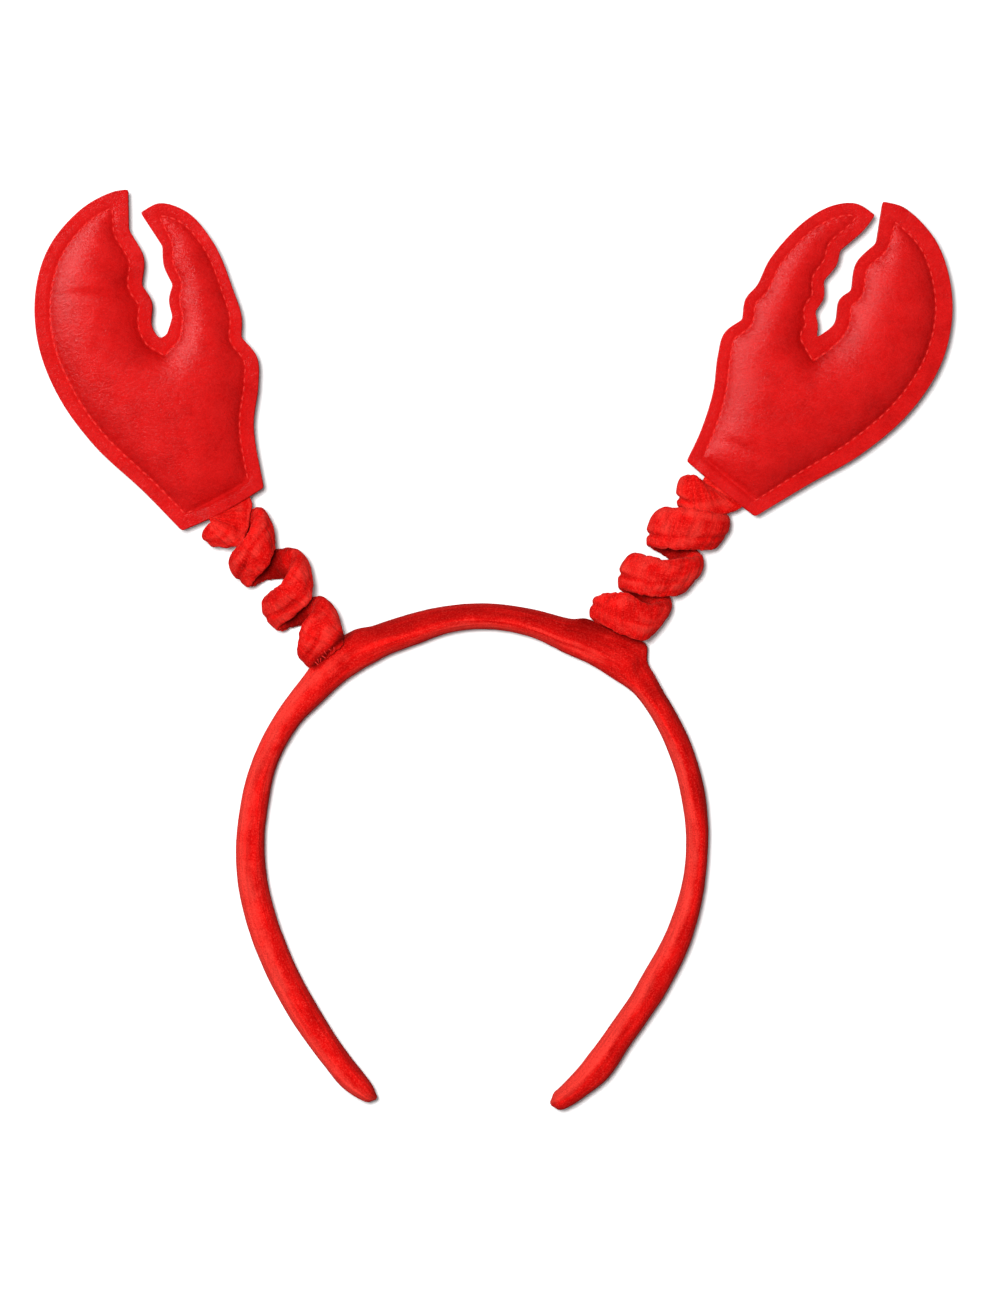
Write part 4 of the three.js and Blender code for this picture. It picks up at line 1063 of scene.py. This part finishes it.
def sheet_heights(claw, mesh, puff, sign, seed):
    """How far one face of the claw stands off its border, at every point of the flat mesh."""
    depth, run = mesh["depth"], mesh["run"]
    xy = mesh["points"]
    flat = np.column_stack([xy, np.full(len(xy), 3.0 * seed)])
    inside = np.maximum(depth, 0)
    rise = puff * (1 - relax(mesh, PUFF_RISE))
    # stuffing is never even: long low lumps, and small dents that die out at the border
    lumps = 0.50 * noise(flat, (21, 21, 9), seed, 2) * smoothstep(0, 9, inside)
    dents = 0.16 * noise(flat, (6.5, 6.5, 9), seed + 4, 2) * smoothstep(0, 5, inside)
    for x, y, lie, length, width, deep in claw["dimples"]:
        a = math.radians(lie)
        along = (xy[:, 0] - x) * math.cos(a) + (xy[:, 1] - y) * math.sin(a)
        beside = -(xy[:, 0] - x) * math.sin(a) + (xy[:, 1] - y) * math.cos(a)
        dents = dents - (deep if sign > 0 else 0) * np.exp(-((along / length) ** 2) - (beside / width) ** 2)
    # the thread pulls the cloth down, and it bulges between the holes
    stitch = run / mesh["pitch"] * 2 * np.pi
    scallop = 0.24 * np.cos(stitch) * np.exp(-inside / 1.5) * smoothstep(0.05, 0.7, inside)
    pucker_size = 0.34 * smoothstep(-0.2, 0.8, noise(np.column_stack([run, 0 * run, 0 * run]), (16, 1, 1), seed + 7))
    pucker = (0.10 + pucker_size) * noise(np.column_stack([run, inside * 0.5, 0 * run]), (3.3, 6.0, 1), seed + 9)
    pucker = pucker * np.exp(-inside / 4.2) * smoothstep(0.1, 1.6, inside)
    groove = -0.52 * np.exp(-((depth / 0.62) ** 2))
    # the free border waves a little; its cut edge is made a touch thinner where the sheets are built
    outside = np.maximum(-depth, 0)
    wave = 0.16 * noise(np.column_stack([run, 0 * run, 0 * run + seed]), (11, 1, 1), seed + 12, 2) * smoothstep(0.3, 3, outside)
    return rise + lumps + dents + scallop + pucker + groove + wave


def boundary_loop(faces):
    e = np.concatenate([faces[:, [0, 1]], faces[:, [1, 2]], faces[:, [2, 0]]])
    have = set(map(tuple, e.tolist()))
    return [(a, b) for a, b in have if (b, a) not in have]


def build_filling(claw, mesh, front, back):
    """Stuffing: the room between the two sheets, less the cloth and a little air."""
    points, faces, depth = mesh["points"], mesh["faces"], mesh["depth"]
    keep = faces[(depth[faces] > FILLING_INSET).all(axis=1)]
    used = np.unique(keep)
    renumber = -np.ones(len(points), int)
    renumber[used] = np.arange(len(used))
    keep = renumber[keep]
    air = CLOTH * 1.9 + FILLING_GAP
    top = np.column_stack([points[used], np.maximum(front[used, 2] - air, SEAM_Z + 0.2)])
    under = np.column_stack([points[used], np.minimum(back[used, 2] + air, SEAM_Z - 0.2)])
    n = len(used)
    body = [tuple(f) for f in keep] + [tuple(f[::-1] + n) for f in keep]
    body += [(b, a, a + n, b + n) for a, b in boundary_loop(keep)]
    side = claw["name"]
    ob = new_mesh(f"claw_{side}_stuffing", placed(claw, np.vstack([top, under])), body)
    ob.data.materials.append(FILLING)
    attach(ob, "root")
    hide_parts(f"claw_{side}_filling")


def build_claw(claw):
    mesh = flat_claw(claw)
    points, faces, depth = mesh["points"], mesh["faces"], mesh["depth"]
    side = claw["name"]
    beside = np.maximum(0, np.abs(points[:, 0] - claw["mouth"]) - 6.0)
    beyond = np.maximum(0, points[:, 1] - 4.5)
    mouth = 1 - smoothstep(0, 5.5, np.hypot(beside, beyond))
    made = []
    for face, puff, sign, seed in (("front", PUFF_FRONT, 1, 31), ("back", PUFF_BACK, -1, 57)):
        seed += 100 if side == "right" else 0
        stand = sheet_heights(claw, mesh, puff, sign, seed)
        over_sleeve = mouth * 0.95 * (1 - 0.75 * np.exp(-(((depth + 0.15) / 0.7) ** 2))) * (depth < 0.3)
        stand = np.maximum(stand, over_sleeve + np.minimum(stand, 0) * 0.8)
        z = SEAM_Z + sign * (SEAM_GAP + CLOTH + stand)
        if face == "back":
            z = np.where(z < 1.2, 1.2 * np.exp((z - 1.2) / 1.2), z)
            z = np.maximum(z - 0.12, 0.0)
        outer = np.column_stack([points, z])
        normal = vertex_normals(outer, faces)
        thick = CLOTH / np.maximum(0.55, np.abs(normal[:, 2]))
        thick = np.where(depth <= 0.2, CLOTH * (0.82 + 0.18 * smoothstep(0, 0.6, mesh["edge"])), thick)
        inner = outer.copy()
        inner[:, 2] -= sign * thick
        n = len(points)
        both = np.vstack([outer, inner])
        rim = boundary_loop(faces)
        if sign > 0:
            body = [tuple(f) for f in faces] + [tuple(f[::-1] + n) for f in faces]
            body += [(b, a, a + n, b + n) for a, b in rim]
        else:
            body = [tuple(f[::-1]) for f in faces] + [tuple(f + n) for f in faces]
            body += [(a, b, b + n, a + n) for a, b in rim]
        ob = new_mesh(f"claw_{side}_{face}_cloth", placed(claw, both), body)
        ob.data.materials.append(CLAW)
        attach(ob, "root")
        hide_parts(f"claw_{side}_{face}_panel")
        made.append((ob, outer))
    build_filling(claw, mesh, made[0][1], made[1][1])
    # thread: short dashes that sink into the cloth at both ends
    closed = np.vstack([mesh["path"], mesh["path"][:1]])
    s = arc(closed)
    pitch = mesh["pitch"]
    count = int(round(s[-1] / pitch))
    grid = {}
    for i, (x, y) in enumerate(points):
        grid.setdefault((int(x // 2), int(y // 2)), []).append(i)

    def surface(q, top):
        out = np.zeros(len(q))
        for j, (x, y) in enumerate(q):
            cx, cy = int(x // 2), int(y // 2)
            near = [i for gx in (-1, 0, 1) for gy in (-1, 0, 1) for i in grid.get((cx + gx, cy + gy), ())]
            near = np.array(near)
            d2 = ((points[near] - (x, y)) ** 2).sum(1)
            w = 1 / (d2 + 0.02) ** 2
            out[j] = (w * top[near, 2]).sum() / w.sum()
        return out

    rng = np.random.default_rng(5 if side == "left" else 6)
    for face, (ob, outer), sign in (("front", made[0], 1), ("back", made[1], -1)):
        rings_p, rings_f = [], []
        for k in range(count):
            middle = (k + 0.5) * pitch + rng.normal(0, 0.08)
            here = [np.interp(middle % s[-1], s, closed[:, d]) for d in (0, 1)]
            if face == "front" and here[1] < 6.4 and abs(here[0]) < 9.8:
                continue  # hidden in the fold over the sleeve
            length = STITCH_LENGTH * (1 + rng.normal(0, 0.06))
            t = np.linspace(-0.5, 0.5, 7)
            where = (middle + t * length) % s[-1]
            q = np.stack([np.interp(where, s, closed[:, d]) for d in (0, 1)], axis=1)
            base = surface(q, outer)
            crown = (0.27 - 0.72 * (2 * np.abs(t)) ** 2.4) * sign
            centre = np.column_stack([q, base + crown])
            direction = np.gradient(centre, axis=0)
            direction /= np.linalg.norm(direction, axis=1, keepdims=True)
            side_v = np.cross(direction, (0, 0, 1.0))
            side_v /= np.linalg.norm(side_v, axis=1, keepdims=True)
            up_v = np.cross(side_v, direction)
            start = len(rings_p) * 1
            ring = []
            for c in range(8):
                ang = 2 * np.pi * c / 8
                ring.append(centre + (THREAD / 2) * (math.cos(ang) * side_v * 1.15 + math.sin(ang) * up_v))
            ring = np.stack(ring, axis=1)
            base_index = sum(len(r) for r in rings_p)
            rings_p.append(np.vstack([ring.reshape(-1, 3), centre[:1], centre[-1:]]))
            f = grid_faces(7, 8) + base_index
            rings_f += [tuple(x) for x in f]
            a0, a1 = base_index + 56, base_index + 57
            for c in range(8):
                rings_f.append((a0, base_index + (c + 1) % 8, base_index + c))
                rings_f.append((a1, base_index + 48 + c, base_index + 48 + (c + 1) % 8))
        pts = np.vstack(rings_p)
        f0 = rings_f[0]
        nrm = np.cross(pts[f0[1]] - pts[f0[0]], pts[f0[2]] - pts[f0[0]])
        if np.dot(nrm, pts[f0[0]] - pts[0:8].mean(axis=0)) < 0:
            rings_f = [tuple(reversed(f)) for f in rings_f]
        st = new_mesh(f"claw_{side}_{face}_stitches", placed(claw, pts), rings_f)
        st.data.materials.append(THREAD_RED)
        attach(st, "root")
    return mesh


def thread_piece(centre, radius, sides=8):
    """Points and faces of one length of thread along a line of points."""
    direction = np.gradient(centre, axis=0)
    direction /= np.linalg.norm(direction, axis=1, keepdims=True)
    side_v = np.cross(direction, (0, 0, 1.0))
    side_v /= np.linalg.norm(side_v, axis=1, keepdims=True)
    up_v = np.cross(side_v, direction)
    turn = 2 * np.pi * np.arange(sides) / sides
    rings = centre[:, None, :] + radius * (
        np.cos(turn)[None, :, None] * side_v[:, None, :] + np.sin(turn)[None, :, None] * up_v[:, None, :]
    )
    n = len(centre)
    faces = [tuple(f) for f in grid_faces(n, sides)]
    for k in range(sides):
        j = (k + 1) % sides
        faces.append((n * sides, j, k))
        faces.append((n * sides + 1, (n - 1) * sides + k, (n - 1) * sides + j))
    points = np.vstack([rings.reshape(-1, 3), centre[:1], centre[-1:]])
    f = faces[0]
    normal = np.cross(points[f[1]] - points[f[0]], points[f[2]] - points[f[0]])
    if np.dot(normal, points[f[0]] - centre[0]) < 0:
        faces = [tuple(reversed(f)) for f in faces]
    return points, faces


def build_junction_stitches(under):
    """A row of rough hand stitches from the left sleeve's last strand down to the band."""
    trees = [BVHTree.FromObject(ob, bpy.context.evaluated_depsgraph_get()) for ob in under]

    def height(x, y):
        hits = [tree.ray_cast(Vector((x * MM, y * MM, 0.05)), Vector((0, 0, -1)))[0] for tree in trees]
        return max([h.z / MM for h in hits if h is not None], default=0.0)

    start, end = np.array(JUNCTION[0]) + SHIFT[:2], np.array(JUNCTION[1]) + SHIFT[:2]
    line = end - start
    length = np.linalg.norm(line)
    line /= length
    square = np.array([-line[1], line[0]])
    rng = np.random.default_rng(11)
    points, faces = [], []
    count = int(length / 2.1)
    for k in range(count):
        middle = start + line * (length * (0.40 + 0.60 * (k + 0.5) / count) + rng.normal(0, 0.35))
        middle = middle + square * rng.normal(0, 0.3)
        lean = line * rng.uniform(-0.5, 1.6) + square
        lean /= np.linalg.norm(lean)
        reach = rng.uniform(0.45, 0.95)
        t = np.linspace(-1, 1, 9)
        xy = middle + lean * (t * reach)[:, None]
        z = np.array([height(x, y) for x, y in xy])
        z = np.convolve(np.pad(z, 1, mode="edge"), (0.25, 0.5, 0.25), mode="valid")
        z = z + 0.16 - 0.7 * np.abs(t) ** 3
        p, f = thread_piece(np.column_stack([xy, z]), 0.17)
        faces += [tuple(i + sum(len(q) for q in points) for i in face) for face in f]
        points.append(p)
    ob = new_mesh("sleeve_left_stitches", np.vstack(points), faces)
    ob.data.materials.append(THREAD_RED)
    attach(ob, "root")


band = build_band()
sleeve_left = build_sleeve("left", SLEEVE_LEFT, 1)
sleeve_right = build_sleeve("right", SLEEVE_RIGHT, 2)
bpy.context.view_layer.update()
build_junction_stitches([band, sleeve_left])
build_claw(LEFT_CLAW)
build_claw(RIGHT_CLAW)

# ------------------------------------------------------------------ floor, light, camera

floor = new_mesh(
    "floor",
    [(-900, -900, -0.02), (900, -900, -0.02), (900, 900, -0.02), (-900, 900, -0.02)],
    [(0, 1, 2, 3)],
    smooth=False,
)
floor.data.materials.append(FLOOR)
floor.visible_glossy = False
floor.visible_diffuse = False


def area_light(name, at_mm, aim_mm, size_mm, power, shine=True, soft=True):
    data = bpy.data.lights.new(name, "AREA")
    data.shape = "RECTANGLE"
    data.size, data.size_y = size_mm[0] * MM, size_mm[1] * MM
    data.energy = power
    ob = bpy.data.objects.new(name, data)
    ob.location = Vector(at_mm) * MM
    ob.rotation_mode = "QUATERNION"
    ob.rotation_quaternion = (Vector(aim_mm) - Vector(at_mm)).to_track_quat("-Z", "Y")
    ob.visible_glossy = shine
    ob.visible_diffuse = soft
    bpy.context.scene.collection.objects.link(ob)
    return ob


area_light("overhead", (-190, 155, 1700), (0, 0, 0), (330, 330), 35, shine=False)
area_light("upper_left_soft", (-1050, 700, 270), (0, 20, 8), (1000, 240), 5.5, shine=False)
area_light("upper_left_shine", (-1010, 670, 370), (0, 20, 8), (1000, 440), 10.3, soft=False)

world = bpy.data.worlds.new("studio")
world.use_nodes = True
world.node_tree.nodes["Background"].inputs["Color"].default_value = (1, 1, 1, 1)
world.node_tree.nodes["Background"].inputs["Strength"].default_value = 0.24
bpy.context.scene.world = world
world.cycles_visibility.glossy = False

camera_data = bpy.data.cameras.new("camera")
camera = bpy.data.objects.new("camera", camera_data)
bpy.context.scene.collection.objects.link(camera)
camera_data.sensor_width = 36.0
camera_data.sensor_fit = "AUTO"
camera_data.lens = 36.0 * (CAMERA_AWAY * 1000 - 8.0) / PHOTO_MM[1]
camera_data.clip_start, camera_data.clip_end = 0.1, 10.0
camera.location = (VIEW_MIDDLE[0] * MM, VIEW_MIDDLE[1] * MM, CAMERA_AWAY)
camera.rotation_euler = (0, 0, 0)
bpy.context.scene.camera = camera

scene = bpy.context.scene
scene.view_settings.view_transform = "Standard"
scene.view_settings.look = "None"
scene.view_settings.exposure = 0.0
scene.view_settings.gamma = 1.0

bpy.context.view_layer.update()
